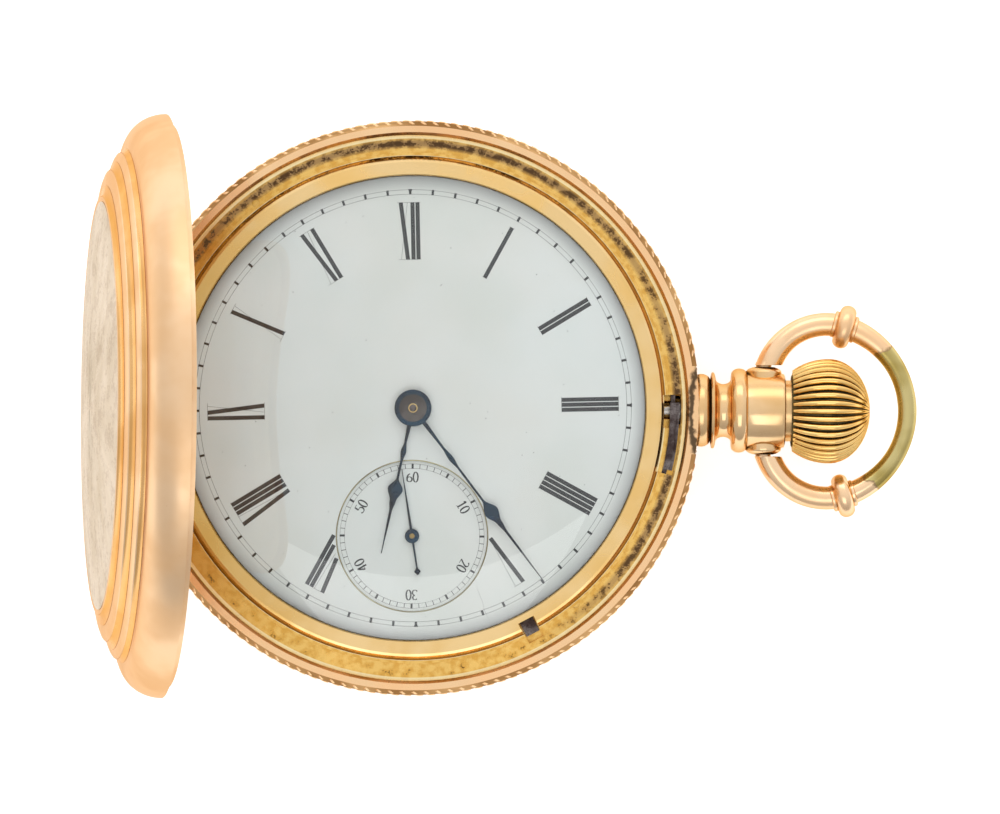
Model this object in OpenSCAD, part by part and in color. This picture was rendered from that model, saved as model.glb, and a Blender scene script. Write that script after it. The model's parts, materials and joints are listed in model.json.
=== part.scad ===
// A full hunter pocket watch, lying on its back with the front cover sprung open.
// Millimetres. Z points out of the dial, X to the crown at 3 o'clock, Y to 12 o'clock.
// The origin is the middle of the flat on the back cover, where the watch rests.

/* [Movement size] */
// Radius of the pillar plate under the dial, round which the whole watch is built
plate_r = 22.4; // [22.3:0.1:24.5]
// Overhang of the dial past the pillar plate
dial_over = 0.4; // [0.35:0.05:0.45]
// Step from the pillar plate's edge in to the top plate's edge
top_inset = 0.8; // [0.75:0.05:0.9]

/* [Rim and channel] */
// Overlap of the bezel over the dial's edge
bezel_hold = 0.2; // [0.15:0.05:0.4]
// Width of the bezel's slope
bezel_w = 1.8; // [1.7:0.1:2.2]
// Gap between the bezel and the thin ridge
bezel_gap = 0.25; // [0.2:0.05:0.3]
// Width of the thin ridge inside the channel
ridge_w = 0.3; // [0.2:0.05:0.4]
// Height of the thin ridge over the channel floor
ridge_h = 0.6; // [0.3:0.05:0.8]
// Width of the channel round the bezel
channel_w = 1.7; // [1.7:0.05:2.2]
// Depth of the channel below the lip
channel_depth = 1.3; // [1.1:0.05:1.4]
// Width of the flat lip on which the front cover closes, up to the milled edge
lip_w = 1.35; // [1.3:0.05:1.8]
// Thickness of the crystal
crystal_t = 0.3; // [0.25:0.05:0.35]
// Rise of the crystal's dome
crystal_rise = 1.7; // [1.6:0.05:2.2]

/* [Case] */
// Height of the case centre between the two covers
band_h = 7.0; // [7:0.1:8]
// Step from the milled edge in to the edge of the outer covers
cover_inset = 0.5; // [0.4:0.05:0.7]
// Wall of the outer covers
cover_wall = 0.5; // [0.4:0.05:0.7]
// Depth of the front cover from its rim to the top of its dome
front_depth = 6.9; // [6.7:0.1:8]
// Depth of the back cover from its rim to its resting flat
back_depth = 5.3; // [5.3:0.1:6]
// Radius of the flat on which the watch rests
rest_r = 12.5; // [10:0.5:14]
// Angle to which the lift spring throws the front cover
open_angle = 82; // [75:1:88]
// Width of the polished band round each cover
polish_w = 3.2; // [2.8:0.1:3.6]
// Rise of the front cover's polished band
polish_rise = 4.15; // [3.8:0.05:4.3]
// Width of the slope between the front cover's polished band and its engine-turned field
slope_w = 5.1; // [4.5:0.1:7]
// Height of each fine step turned in the covers
step_h = 0.2; // [0.1:0.05:0.25]
// Wall of the inner dust cover
dust_wall = 0.4; // [0.3:0.05:0.45]
// Step from the milled edge in to the edge of the inner dust cover
dust_inset = 3.6; // [3.5:0.05:3.8]
// Gap between the resting flat's wall and the inner dust cover
dust_gap = 0.5; // [0.4:0.05:0.55]

/* [Hinges] */
// Distance of the outer hinges' axes inside the milled edge
hinge_inset = 1.0; // [0.95:0.05:1.1]
// Radius of the outer hinge knuckles
knuckle_r = 0.8; // [0.7:0.05:0.85]
// Radius of the outer hinge pins
hinge_pin_r = 0.35; // [0.3:0.05:0.45]
// Length of the outer hinges
hinge_l = 12.0; // [11:0.5:12]
// Distance of the dust cover's hinge axis outside its edge
dust_hinge_out = 0.35; // [0.3:0.05:0.4]
// Radius of the dust cover's knuckles
dust_knuckle_r = 0.5; // [0.45:0.05:0.5]
// Radius of the dust cover's hinge pin
dust_pin_r = 0.2; // [0.15:0.05:0.25]
// Length of the dust cover's hinge
dust_hinge_l = 8.0; // [7:0.5:8]
// Radial clearance of a pin in its knuckle
pin_gap = 0.03; // [0.02:0.01:0.05]
// Gap between neighbouring knuckles
knuckle_gap = 0.1; // [0.08:0.01:0.15]

/* [Pendant, crown and bow] */
// Length of the pendant from the milled edge to the end of its barrel
pendant_l = 8.4; // [8.2:0.1:10]
// Radius of the bead where the pendant meets the case
bead_r = 3.3; // [3.2:0.05:3.5]
// Radius of the thin disc next to the bead
disc_r = 3.75; // [3.6:0.05:3.9]
// Radius of the pendant's narrow groove
groove_r = 2.6; // [2.55:0.05:2.8]
// Radius of the pendant's collar
collar_r = 4.14; // [4:0.02:4.3]
// Radius of the pendant's barrel
barrel_neck_r = 3.66; // [3.6:0.02:3.8]
// Bore of the pendant for the push sleeve
pendant_bore_r = 2.25; // [2.2:0.05:2.3]
// Gap between the pendant's end and the crown, which must exceed the crown's travel
crown_gap = 0.6; // [0.55:0.05:0.8]
// Largest radius of the crown
crown_r = 5.14; // [5:0.02:5.4]
// Length of the crown from its inner face to its pole
crown_l = 7.75; // [7.5:0.05:8]
// Number of ribs on the crown
crown_ribs = 38; // [30:1:44]
// Depth of the grooves between the crown's ribs
crown_groove = 0.34; // [0.2:0.02:0.4]
// Travel of the crown when it is pressed to free the cover
push_travel = 0.45; // [0.3:0.05:0.45]
// Radial clearance of the push sleeve in the pendant
sleeve_gap = 0.05; // [0.03:0.01:0.08]
// Distance of the bow's pivots from the end of the pendant's barrel
bow_back = 2.1; // [1.9:0.05:2.3]
// Distance from the bow's pivots to the centre of its ring
bow_reach = 5.5; // [5.4:0.05:6]
// Radius of the bow's middle line
bow_ring_r = 8.6; // [8.4:0.05:8.8]
// Distance by which the feet of the bow's arms stand in front of its pivots
bow_lean = 0.5; // [0.3:0.05:0.6]
// Radius of the bow's wire
bow_wire_r = 1.0; // [0.9:0.05:1.1]
// Radius of the bow's pivots
bow_pivot_r = 0.8; // [0.7:0.05:0.9]
// Radius of the two beads on the bow
bow_bead_r = 2.15; // [2:0.05:2.3]
// Angle of each bead round the bow
bow_bead_angle = 74; // [70:1:80]
// Radius of the socket bosses on the pendant
socket_r = 1.75; // [1.6:0.05:1.9]
// Radial clearance of the bow's pivots in their sockets
bow_gap = 0.04; // [0.03:0.01:0.08]

/* [Dial and hands] */
// Height of the dial's face over the resting flat
dial_z = 11.6; // [11.5:0.05:11.65]
// Thickness of the dial
dial_t = 0.8; // [0.7:0.05:0.8]
// Radius of the sunk seconds dial
seconds_r = 7.4; // [7:0.1:7.6]
// Distance of the seconds dial's edge inside the pillar plate's edge
seconds_margin = 2.5; // [2.3:0.1:2.7]
// Depth of the sunk seconds dial
seconds_sink = 0.2; // [0.1:0.05:0.25]
// Thickness of the hands
hand_t = 0.2; // [0.15:0.05:0.22]
// Length of the hour hand from the middle of the dial to its tip
hour_l = 14.5; // [13:0.1:15]
// Length of the minute hand from the middle of the dial to its tip
minute_l = 21.2; // [20:0.1:21.6]
// Length of the seconds hand from its staff to its tip
second_l = 6.6; // [6:0.1:7]
// Clockwise angle of the hour hand from 12 o'clock
hour_angle = 191.9; // [0:0.1:360]
// Clockwise angle of the minute hand from 12 o'clock
minute_angle = 142.5; // [0:0.1:360]
// Clockwise angle of the seconds hand from 12 o'clock
second_angle = 350.9; // [0:0.1:360]

/* [Movement] */
// Thickness of the pillar plate
plate_t = 1.9; // [1.8:0.05:1.95]
// Thickness of the top plate
top_t = 1.2; // [1.1:0.05:1.3]
// Space between the plates
plates_gap = 3.5; // [3.45:0.05:3.6]
// Radius of the pillars
pillar_r = 1.0; // [0.8:0.05:1.1]
// Radius of the balance over its rim
balance_r = 7.0; // [6.6:0.1:7.1]
// Thickness of the wheels of the train
wheel_t = 0.3; // [0.25:0.05:0.3]
// Radius of the train's arbors
arbor_r = 0.3; // [0.25:0.05:0.35]
// Radius of the train's pivots
pivot_r = 0.12; // [0.1:0.01:0.14]
// Radial clearance of a pivot in its jewel
pivot_gap = 0.02; // [0.015:0.005:0.03]

/* [Hidden] */
$fn = 96;
eps = 0.01;

// Finishes
gold = "#d9a766";
worn_gold = "#c9a03c";
steel = "#8d9199";
blued = "#1d3350";
brass = "#c8b273";
ruby = "#a3314a";

// Radii, from the dial out to the milled edge
dial_r = plate_r + dial_over;
top_r = plate_r - top_inset;
bezel_in = dial_r - bezel_hold;
bezel_r = bezel_in + bezel_w;
ridge_in = bezel_r + bezel_gap;
channel_in = ridge_in + ridge_w;
lip_in = channel_in + channel_w;
case_r = lip_in + lip_w;
cover_r = case_r - cover_inset;
field_r = cover_r - polish_w - slope_w;
dust_r = case_r - dust_inset;
hinge_x = case_r - hinge_inset;
dust_hinge_x = dust_r + dust_hinge_out;

// Places along the pendant
pendant_end = case_r + pendant_l;
crown_in = pendant_end + crown_gap;
crown_out = crown_in + crown_l;
bow_x = pendant_end - bow_back;
bow_centre_x = bow_x + bow_reach;

// Heights
rim_back_z = back_depth;
rim_front_z = back_depth + band_h;
stem_z = back_depth + band_h / 2;
channel_z = rim_front_z - channel_depth;
dial_back_z = dial_z - dial_t;
plate_z1 = dial_back_z - 0.1;
plate_z0 = plate_z1 - plate_t;
top_z1 = plate_z0 - plates_gap;
top_z0 = top_z1 - top_t;
recess_z = plate_z0 + 0.5;

// Train levels, measured up from the inside of the top plate
centre_wheel_z = top_z1 + 0.3;
escape_z = top_z1 + 0.4;
fork_z = top_z1 + 0.45;
fourth_wheel_z = top_z1 + 1.3;
third_wheel_z = top_z1 + 2.3;
drum_z0 = top_z1 + 0.9;
drum_z1 = plate_z0 - 0.2;
balance_z = top_z0 - 0.9;
balance_t = 0.6;
hairspring_z = balance_z - 0.35;
hairspring_h = 0.2;
cock_z1 = hairspring_z - 0.12;
cock_t = 0.6;
cock_z0 = cock_z1 - cock_t;

// Motion work and winding levels, measured up from the recess under the dial
minute_wheel_z = recess_z + 0.15;
cannon_z = minute_wheel_z - 0.1;
minute_pinion_z = minute_wheel_z + wheel_t;
hour_wheel_z = minute_wheel_z + 0.6;
spur_z = plate_z1 - 0.5;
spur_t = 0.35;

// Modules and tooth counts
train_m = 0.2;
centre_teeth = 80;
centre_leaves = 12;
barrel_teeth = 78;
barrel_m = 0.23;
third_teeth = 75;
third_leaves = 10;
fourth_teeth = 80;
fourth_leaves = 10;
fourth_m = 0.19;
escape_teeth = 15;
escape_leaves = 8;
cannon_leaves = 12;
minute_teeth = 36;
minute_leaves = 10;
hour_teeth = 40;
crown_teeth = 38;
contrate_teeth = 44;
contrate_m = 0.19;
winding_leaves = 12;
ratchet_teeth = 44;
setting_teeth = 18;
winding_m = 0.25;

// Arbor places
function pol(r, a) = [r * cos(a), r * sin(a)];
function pitch_r(n, m) = n * m / 2;
tooth_add = 0.9;
function tip_r(n, m) = pitch_r(n, m) + tooth_add * m;
third_fourth = pitch_r(third_teeth + fourth_leaves, train_m);
fourth_escape = pitch_r(fourth_teeth + escape_leaves, fourth_m);
centre_third = pitch_r(centre_teeth + third_leaves, train_m);
centre_fourth = plate_r - seconds_margin - seconds_r;
third_turn = acos((pow(centre_third, 2) + pow(centre_fourth, 2) - pow(third_fourth, 2))
    / (2 * centre_third * centre_fourth));
centre_p = [0, 0];
fourth_p = [0, -centre_fourth];
third_p = pol(centre_third, -90 - third_turn);
barrel_p = pol(pitch_r(barrel_teeth + centre_leaves, barrel_m), 45);
escape_p = fourth_p + pol(fourth_escape, -25);
escape_r = 3.3;
escape_line = 75;
pallet_p = escape_p + pol(escape_r / cos(30), escape_line);
fork_l = 5.0;
balance_p = pallet_p + pol(fork_l, escape_line);
motion_distance = pitch_r(cannon_leaves + minute_teeth, train_m);
motion_m = 2 * motion_distance / (minute_leaves + hour_teeth);
minute_p = pol(motion_distance, -60);
winding_distance = pitch_r(crown_teeth + ratchet_teeth, winding_m);
crown_wheel_p = [barrel_p[0] + sqrt(pow(winding_distance, 2) - pow(barrel_p[1], 2)), 0];
setting_p = crown_wheel_p + pol(pitch_r(crown_teeth + setting_teeth, winding_m), -140);

// Angle of a follower's first tooth, when its partner has a tooth at its own angle
function mesh_phase(phase, n_a, n_b, line) = line + 180 + 180 / n_b - (phase - line) * n_a / n_b;
function line_to(a, b) = atan2(b[1] - a[1], b[0] - a[0]);

module at(p, z = 0) {
    translate([p[0], p[1], z]) children();
}

module disc(r, z0, z1) {
    translate([0, 0, z0]) cylinder(r = r, h = z1 - z0);
}

module collar(r_out, r_in, z0, z1) {
    difference() {
        disc(r_out, z0, z1);
        disc(r_in, z0 - 1, z1 + 1);
    }
}

// A band of a ring between two radii, two angles and two heights
module ring_part(r0, r1, a0, a1, z0, z1) {
    rotate([0, 0, a0])
        rotate_extrude(angle = a1 - a0)
            translate([r0, z0])
                square([r1 - r0, z1 - z0]);
}

module along_x(x0, x1, r, z = stem_z) {
    translate([x0, 0, z]) rotate([0, 90, 0]) cylinder(r = r, h = x1 - x0);
}

module along_y(x, z, y0, y1, r) {
    translate([x, y0, z]) rotate([-90, 0, 0]) cylinder(r = r, h = y1 - y0);
}

// A slotted screw, head up, with the underside of its head at z = 0
module screw(head_r, head_h, shank_r, shank_l) {
    slot_w = head_r * 0.3;
    difference() {
        union() {
            cylinder(r = head_r, h = head_h);
            translate([0, 0, -shank_l]) cylinder(r = shank_r, h = shank_l + eps);
        }
        translate([-head_r, -slot_w / 2, head_h * 0.55]) cube([2 * head_r, slot_w, head_h]);
    }
}

// Teeth

// Outline of a toothed wheel, with its first tooth at the angle phase
module teeth_2d(n, m, phase, add = tooth_add, ded = 1.15, root = 0.27, tip = 0.12) {
    p = 360 / n;
    r_root = pitch_r(n, m) - ded * m;
    r_tip = pitch_r(n, m) + add * m;
    polygon([for (i = [0 : n - 1])
        for (c = [[r_root, -root], [r_tip, -tip], [r_tip, tip], [r_root, root]])
            pol(c[0], phase + (i + c[1]) * p)]);
}

module wheel_2d(n, m, phase, rim, arms, hub) {
    r_in = pitch_r(n, m) - 1.15 * m - rim;
    arm_w = 0.7;
    difference() {
        teeth_2d(n, m, phase);
        difference() {
            circle(r = r_in);
            circle(r = hub);
            for (i = [0 : arms - 1])
                rotate(i * 360 / arms)
                    translate([0, -arm_w / 2])
                        square([r_in + rim / 2, arm_w]);
        }
    }
}

module pinion(n, m, phase, z0, z1) {
    translate([0, 0, z0])
        linear_extrude(z1 - z0)
            teeth_2d(n, m, phase, add = 0.7, ded = 1.3, root = 0.22, tip = 0.1);
}

// An arbor between the plates with a pivot at each end
module arbor(z_low = top_z1, z_high = plate_z0, r = arbor_r) {
    shoulder = 0.15;
    disc(r, z_low + shoulder, z_high - shoulder);
    disc(pivot_r, z_low - 0.5, z_high + 0.5);
}

module train_wheel(n, m, phase, z, arms, hub = 1.0) {
    translate([0, 0, z])
        linear_extrude(wheel_t)
            wheel_2d(n, m, phase, 0.55, arms, hub);
}

// Case

hinge_seat = 0.95;
hinge_slot_x = hinge_x - 1.05;
cover_lip_in = lip_in - 0.55;
cover_lip_out = lip_in - 0.12;
cover_lip_h = 0.5;
cover_bead_in = cover_lip_in - 0.3;
rim_in = lip_in - 0.15;
seat_in = dial_r + 0.15;
plate_ledge_in = top_r + 0.3;
plate_ledge_z = plate_z0 - 0.55;
dust_rim_z = rim_back_z + 0.55;
back_lip_in = lip_in - 0.7;
back_lip_out = lip_in - 0.15;
back_lip_h = 0.45;
bezel_z = channel_z - 0.1;

// Knuckle lengths: five knuckles, of which the first, third and fifth belong to the case
function knuckle_y(i, l) = -l / 2 + i * l / 5;

module knuckles(own, l, r, x, z) {
    for (i = own)
        along_y(x, z, knuckle_y(i, l) + knuckle_gap / 2, knuckle_y(i + 1, l) - knuckle_gap / 2, r);
}

// Room round the other half's knuckles
module knuckle_room(other, l, r, x, z) {
    for (i = other)
        along_y(x, z, knuckle_y(i, l) - knuckle_gap / 2, knuckle_y(i + 1, l) + knuckle_gap / 2, r);
}

case_side = [0, 2, 4];
cover_side = [1, 3];

module knuckle_webs(own, l, x, w, z0, z1) {
    for (i = own)
        translate([x - w / 2, knuckle_y(i, l) + knuckle_gap / 2, z0])
            cube([w, l / 5 - knuckle_gap, z1 - z0]);
}

spring_room = 0.15;
spring_screw_r = 0.35;
hinge_cut = hinge_l + 2 * knuckle_gap;
dust_hinge_cut = dust_hinge_l + 2 * knuckle_gap;
knuckle_room_r = knuckle_r + 0.32;

module case_profile() {
    edge_r = case_r - 0.05;
    polygon([
        [cover_r, rim_back_z], [cover_r, rim_back_z + 0.3], [edge_r, rim_back_z + 0.6],
        [edge_r, rim_front_z - 0.4], [edge_r - 0.05, rim_front_z], [lip_in + 0.28, rim_front_z],
        [lip_in, rim_front_z - 0.3], [lip_in, channel_z], [channel_in, channel_z],
        [channel_in, channel_z + ridge_h], [ridge_in, channel_z + ridge_h],
        [ridge_in, bezel_z], [seat_in, bezel_z], [seat_in, dial_back_z - 0.05],
        [plate_r + 0.1, dial_back_z - 0.05], [plate_r + 0.1, plate_z0], [plate_ledge_in, plate_z0],
        [plate_ledge_in, plate_ledge_z], [seat_in, plate_ledge_z], [seat_in, dust_rim_z + 0.1],
        [dust_r + 0.25, dust_rim_z + 0.1], [dust_r + 0.25, rim_back_z],
        [back_lip_in - 0.1, rim_back_z], [back_lip_in - 0.1, rim_back_z + back_lip_h + 0.1],
        [back_lip_out + 0.1, rim_back_z + back_lip_h + 0.1], [back_lip_out + 0.1, rim_back_z]]);
}

catch_a0 = -13.2;
catch_a1 = 1.6;
catch_in = channel_in + 0.15;
catch_out = lip_in - 0.65;
lock_pivot_a = -50;
lock_pivot_r = channel_in - 0.05;
lock_room_out = lip_in - 0.4;
lock_boss_r = 0.85;
lift_boss_r = 0.8;
catch_room_in = catch_in - push_travel - 0.12;
lock_z0 = stem_z + 1.6;
lock_z1 = bezel_z - 0.35;
lift_a0 = 128;
lift_a1 = 176;
stem_r = 0.9;
shoulder_x = lip_in - 0.5;
shoulder_w = 0.5;
lever_angle = -61.5;
lever_w = 1.4;
lever_travel = 1.5;
lever_z = plate_z1 - 0.6;
lever_t = 0.5;
lever_in = plate_r - 6.8;
lever_out = dial_r + 1.2;
tab_in = lever_out - 0.5;
tab_out = channel_in;
tab_z = channel_z + 0.1;
tab_t = 0.5;

module lever_way(gap, reach) {
    rotate([0, 0, lever_angle])
        translate([lever_in - 1, -lever_w / 2 - gap, lever_z - gap])
            cube([lever_out + lever_travel + reach - lever_in + 1, lever_w + 2 * gap, 10]);
}

module case_centre() {
    color(gold)
    difference() {
        union() {
            difference() {
                rotate_extrude() case_profile();
                translate([-case_r - 1, -hinge_cut / 2, rim_front_z - hinge_seat])
                    cube([case_r + 1 - hinge_slot_x, hinge_cut, 2]);
                translate([-case_r - 1, -hinge_cut / 2, rim_back_z + hinge_seat - 2])
                    cube([case_r + 1 - hinge_slot_x, hinge_cut, 2]);
                translate([-dust_hinge_x - dust_knuckle_r - 0.12, -dust_hinge_cut / 2, rim_back_z - 1])
                    cube([dust_knuckle_r + 1, dust_hinge_cut, dust_knuckle_r + 1.35]);
            }
            knuckles(case_side, hinge_l, knuckle_r, -hinge_x, rim_front_z);
            knuckle_webs(case_side, hinge_l, -hinge_x, 0.9, rim_front_z - hinge_seat - 0.1, rim_front_z);
            knuckles(case_side, hinge_l, knuckle_r, -hinge_x, rim_back_z);
            knuckle_webs(case_side, hinge_l, -hinge_x, 0.9, rim_back_z, rim_back_z + hinge_seat + 0.1);
            knuckles(case_side, dust_hinge_l, dust_knuckle_r, -dust_hinge_x, dust_hinge_z);
            knuckle_webs(case_side, dust_hinge_l, -dust_hinge_x, 0.6, dust_hinge_z, dust_hinge_z + 0.9);
        }
        along_y(-hinge_x, rim_front_z, -hinge_l, hinge_l, hinge_pin_r + pin_gap);
        along_y(-hinge_x, rim_back_z, -hinge_l, hinge_l, hinge_pin_r + pin_gap);
        along_y(-dust_hinge_x, dust_hinge_z, -hinge_l / 2, hinge_l / 2, dust_pin_r + pin_gap);
        along_x(plate_ledge_in - 1, case_r + 2, stem_r + 0.35);
        // room for the lock spring inside the wall, and its slot in the channel
        ring_part(lock_pivot_r - 1.2, lock_room_out, lock_pivot_a - 3.5, catch_a1 + 2.8,
            lock_z0 - spring_room, lock_z1 + spring_room);
        ring_part(catch_room_in, lock_room_out - 0.05, catch_a0 - 1, catch_a1 + 1.8, lock_z0, rim_front_z);
        translate([lock_room_out - 2.35, -1.75, stem_z - 1.55]) cube([2.35, 3.5, lock_z0 - stem_z + 1.7]);
        // room for the lift spring and its slot under the cover's hinge
        ring_part(lift_in - spring_room, lift_out + spring_room, lift_a0 - 3.5, lift_a1 + 2,
            lock_z0 - spring_room, lock_z1 + spring_room);
        ring_part(lift_in - 0.1, lift_out + 0.1, lift_a1 - 5, lift_a1 + 1.5, lock_z0, rim_front_z);
        at(spring_screw_places[1], lock_z0 - spring_room)
            cylinder(r = lift_boss_r + spring_room, h = lock_z1 - lock_z0 + 2 * spring_room);
        lever_way(0.1, 0.15);
        for (p = spring_screw_places) at(p, lock_z0 - 2.2) cylinder(r = spring_screw_r + 0.01, h = 3);
    }
}

lift_in = channel_in + 0.05;
lift_out = lift_in + 0.5;
dust_hinge_z = rim_back_z + 0.25;
spring_screw_places = [pol(lock_pivot_r, lock_pivot_a), pol((lift_in + lift_out) / 2, lift_a0)];

// Cover domes: points from the rim to the middle, as [radius, height over the rim]

function polish_band(rise) = [for (t = [0 : 10 : 90])
    [cover_r - polish_w * (1 - cos(t)), rise * sin(t)]];

function front_outline() = let (
        shoulder_r = cover_r - polish_w - 0.15,
        field_rise = 0.85,
        field_z = front_depth - field_rise,
        slope_z0 = polish_rise + step_h,
        slope_z1 = field_z - 2 * step_h)
    concat(
        polish_band(polish_rise),
        [[shoulder_r, slope_z0], [field_r + 1.1, slope_z1], [field_r + 1.0, slope_z1 + step_h],
         [field_r + 0.15, slope_z1 + step_h]],
        [for (i = [0 : 8]) let (k = 1 - i / 8) [field_r * k, front_depth - field_rise * k * k]]);

function back_outline() = let (
        slope_r = cover_r - polish_w,
        band_rise = back_depth - 1.5)
    concat(
        polish_band(band_rise),
        [for (i = [0 : 8]) let (k = 1 - i / 8)
            [rest_r + (slope_r - 0.15 - rest_r) * k, back_depth - (1.5 - step_h) * pow(k, 1.8)]],
        [[0, back_depth]]);

function segment_normal(a, b) = let (d = b - a) [d[1], -d[0]] / norm(d);

// The same outline moved inwards by a wall
function inner_outline(p, wall) = [for (i = [0 : len(p) - 1]) let (
        before = segment_normal(p[max(i - 1, 0)], p[max(i, 1)]),
        after = segment_normal(p[min(i, len(p) - 2)], p[min(i + 1, len(p) - 1)]),
        n = (before + after) / norm(before + after),
        q = p[i] - n * wall)
    [i == len(p) - 1 ? 0 : max(q[0], 0), q[1]]];

function reversed(p) = [for (i = [len(p) - 1 : -1 : 0]) p[i]];

function above(p, z) = [for (q = p) if (q[1] > z) q];

module cover_shell(outline, lip) {
    inner = above(inner_outline(outline, cover_wall), 1.3);
    rotate_extrude() polygon(concat(outline, reversed(inner), [[rim_in, 0.9]], lip));
}

front_lip = [[cover_lip_in, 0.5], [cover_lip_in, -cover_lip_h + 0.22], [cover_bead_in, -cover_lip_h + 0.15],
    [cover_bead_in, -cover_lip_h], [cover_lip_out, -cover_lip_h], [cover_lip_out, 0]];
back_lip = [[back_lip_in, 0.5], [back_lip_in, -back_lip_h], [back_lip_out, -back_lip_h], [back_lip_out, 0]];

// A cover as it lies closed, rim at z = 0 and dome up, with the hinge on the side of -X
module hinged_cover(outline, lip) {
    difference() {
        union() {
            difference() {
                cover_shell(outline, lip);
                translate([-hinge_x - 3, -hinge_l / 2 - 0.05, -2]) cube([4.6, hinge_l + 0.1, 2]);
            }
            knuckle_webs(cover_side, hinge_l, -hinge_x + 0.1, 0.8, 0, 1.2);
            knuckles(cover_side, hinge_l, knuckle_r, -hinge_x, 0);
        }
        knuckle_room(case_side, hinge_l, knuckle_room_r, -hinge_x, 0);
        along_y(-hinge_x, 0, -hinge_l, hinge_l, hinge_pin_r + pin_gap);
    }
}

module front_cover() {
    color(gold)
    translate([-hinge_x, 0, rim_front_z])
        rotate([0, -open_angle, 0])
            translate([hinge_x, 0, 0])
                hinged_cover(front_outline(), front_lip);
}

module back_cover() {
    color(gold)
    translate([0, 0, rim_back_z])
        mirror([0, 0, 1])
            hinged_cover(back_outline(), back_lip);
}

module hinge_pin(x, z, l, r) {
    color(worn_gold) along_y(-x, z, -l / 2 - 0.05, l / 2 + 0.05, r);
}

module cuvette_hinge_pin() {
    hinge_pin(dust_hinge_x, dust_hinge_z, dust_hinge_l, dust_pin_r);
}

// Inner dust cover: points from its rim to the middle, as [radius, height over the table]
dust_z = cover_wall + dust_gap;
function dust_outline() = [[dust_r, dust_rim_z], [dust_r, dust_z + 3.6], [dust_r - 0.2, dust_z + 2.6],
    [dust_r - 0.8, dust_z + 1.6], [dust_r - 1.8, dust_z + 0.85], [dust_r - 3.4, dust_z + 0.45],
    [dust_r - 6.4, dust_z + 0.2], [dust_r - 12.4, dust_z + 0.04], [0, dust_z]];

module cuvette() {
    outer = dust_outline();
    inner = [for (q = inner_outline([for (p = outer) [p[0], -p[1]]], dust_wall)) [q[0], -q[1]]];
    color(worn_gold)
    difference() {
        union() {
            rotate_extrude() polygon(concat(outer, reversed(inner)));
            knuckle_webs(cover_side, dust_hinge_l, -dust_hinge_x + 0.45, 0.7,
                dust_hinge_z - 0.45, dust_hinge_z + 0.2);
            knuckles(cover_side, dust_hinge_l, dust_knuckle_r, -dust_hinge_x, dust_hinge_z);
        }
        knuckle_room(case_side, dust_hinge_l, dust_knuckle_r + 0.12, -dust_hinge_x, dust_hinge_z);
        knuckle_room(case_side, dust_hinge_l, 0.36, -dust_hinge_x, dust_hinge_z + 0.45);
        along_y(-dust_hinge_x, dust_hinge_z, -dust_hinge_l, dust_hinge_l, dust_pin_r + pin_gap);
    }
}

// Bezel and crystal

crystal_r = bezel_in + 0.32;
crystal_z = dial_z + 0.5;
crystal_top = crystal_z + crystal_t;
crystal_flat = 5;
bezel_top = rim_front_z + 0.45;

module bezel() {
    color(worn_gold)
    difference() {
        rotate_extrude()
            polygon([[ridge_in - 0.02, bezel_z], [ridge_in - 0.02, bezel_z + 0.4],
                [bezel_r, bezel_z + 0.5], [bezel_r, bezel_top - 0.35], [bezel_r - 0.15, bezel_top - 0.06],
                [bezel_r - 0.4, bezel_top], [crystal_r - 0.1, crystal_top + 0.24],
                [crystal_r - 0.1, crystal_top + 0.12], [crystal_r + 0.02, crystal_top + 0.02],
                [crystal_r + 0.02, crystal_z], [bezel_in, crystal_z], [bezel_in, dial_z + 0.1],
                [dial_r + 0.3, dial_z + 0.1], [dial_r + 0.3, bezel_z]]);
        rotate([0, 0, lever_angle])
            translate([tab_in - 0.1, -lever_w / 2 - 0.15, bezel_z - 1]) cube([3, lever_w + 0.3, 4]);
        ring_part(catch_room_in, catch_out, catch_a0 - 1, catch_a1 + 1.8, bezel_z - 1, bezel_z + 0.45);
    }
}

module crystal() {
    edge_drop = 0.02;
    steps = 12;
    function rise(k) = crystal_rise * (1 - pow(k, crystal_flat)) - edge_drop;
    function side(order, t) = [for (i = order) let (k = cos(90 * i / steps))
        [crystal_r * (i == steps ? 0 : k), rise(k) + t]];
    color("#eef3f5", 0.3)
    translate([0, 0, crystal_z + edge_drop])
        rotate_extrude()
            polygon(concat(side([0 : steps], crystal_t), side([steps : -1 : 0], 0)));
}

// Springs of the case

module lock_spring() {
    tongue_t = 0.4;
    color(steel)
    difference() {
        union() {
            at(spring_screw_places[0], lock_z0) cylinder(r = lock_boss_r, h = lock_z1 - lock_z0);
            ring_part(catch_in, catch_in + 0.45, lock_pivot_a + 1, catch_a0 + 1, lock_z0, lock_z1);
            ring_part(catch_in, catch_out - 0.3, catch_a0, catch_a1, lock_z0, rim_front_z - 0.12);
            ring_part(catch_in, catch_out, catch_a0, catch_a1, lock_z0, rim_front_z - cover_lip_h - 0.12);
            translate([shoulder_x - shoulder_w - 0.05 - tongue_t, -1.5, stem_z - 1.4])
                cube([tongue_t, 3, lock_z1 - stem_z + 1.4]);
        }
        at(spring_screw_places[0], lock_z0 - 1) cylinder(r = spring_screw_r + 0.05, h = 5);
        along_x(plate_r, case_r + 2, stem_r + 0.32);
    }
}

module lift_spring() {
    color(steel)
    difference() {
        union() {
            at(spring_screw_places[1], lock_z0) cylinder(r = lift_boss_r, h = lock_z1 - lock_z0);
            ring_part(lift_in, lift_out, lift_a0, lift_a1, lock_z0, lock_z1);
            ring_part(lift_in, lift_out, lift_a1 - 4, lift_a1, lock_z1 - 0.2, rim_front_z - 0.9);
        }
        at(spring_screw_places[1], lock_z0 - 1) cylinder(r = spring_screw_r + 0.03, h = 5);
    }
}

module spring_screws() {
    color(steel)
    for (p = spring_screw_places)
        at(p, lock_z0 - 1.9) cylinder(r = spring_screw_r, h = lock_z1 - lock_z0 + 1.9);
}

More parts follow.
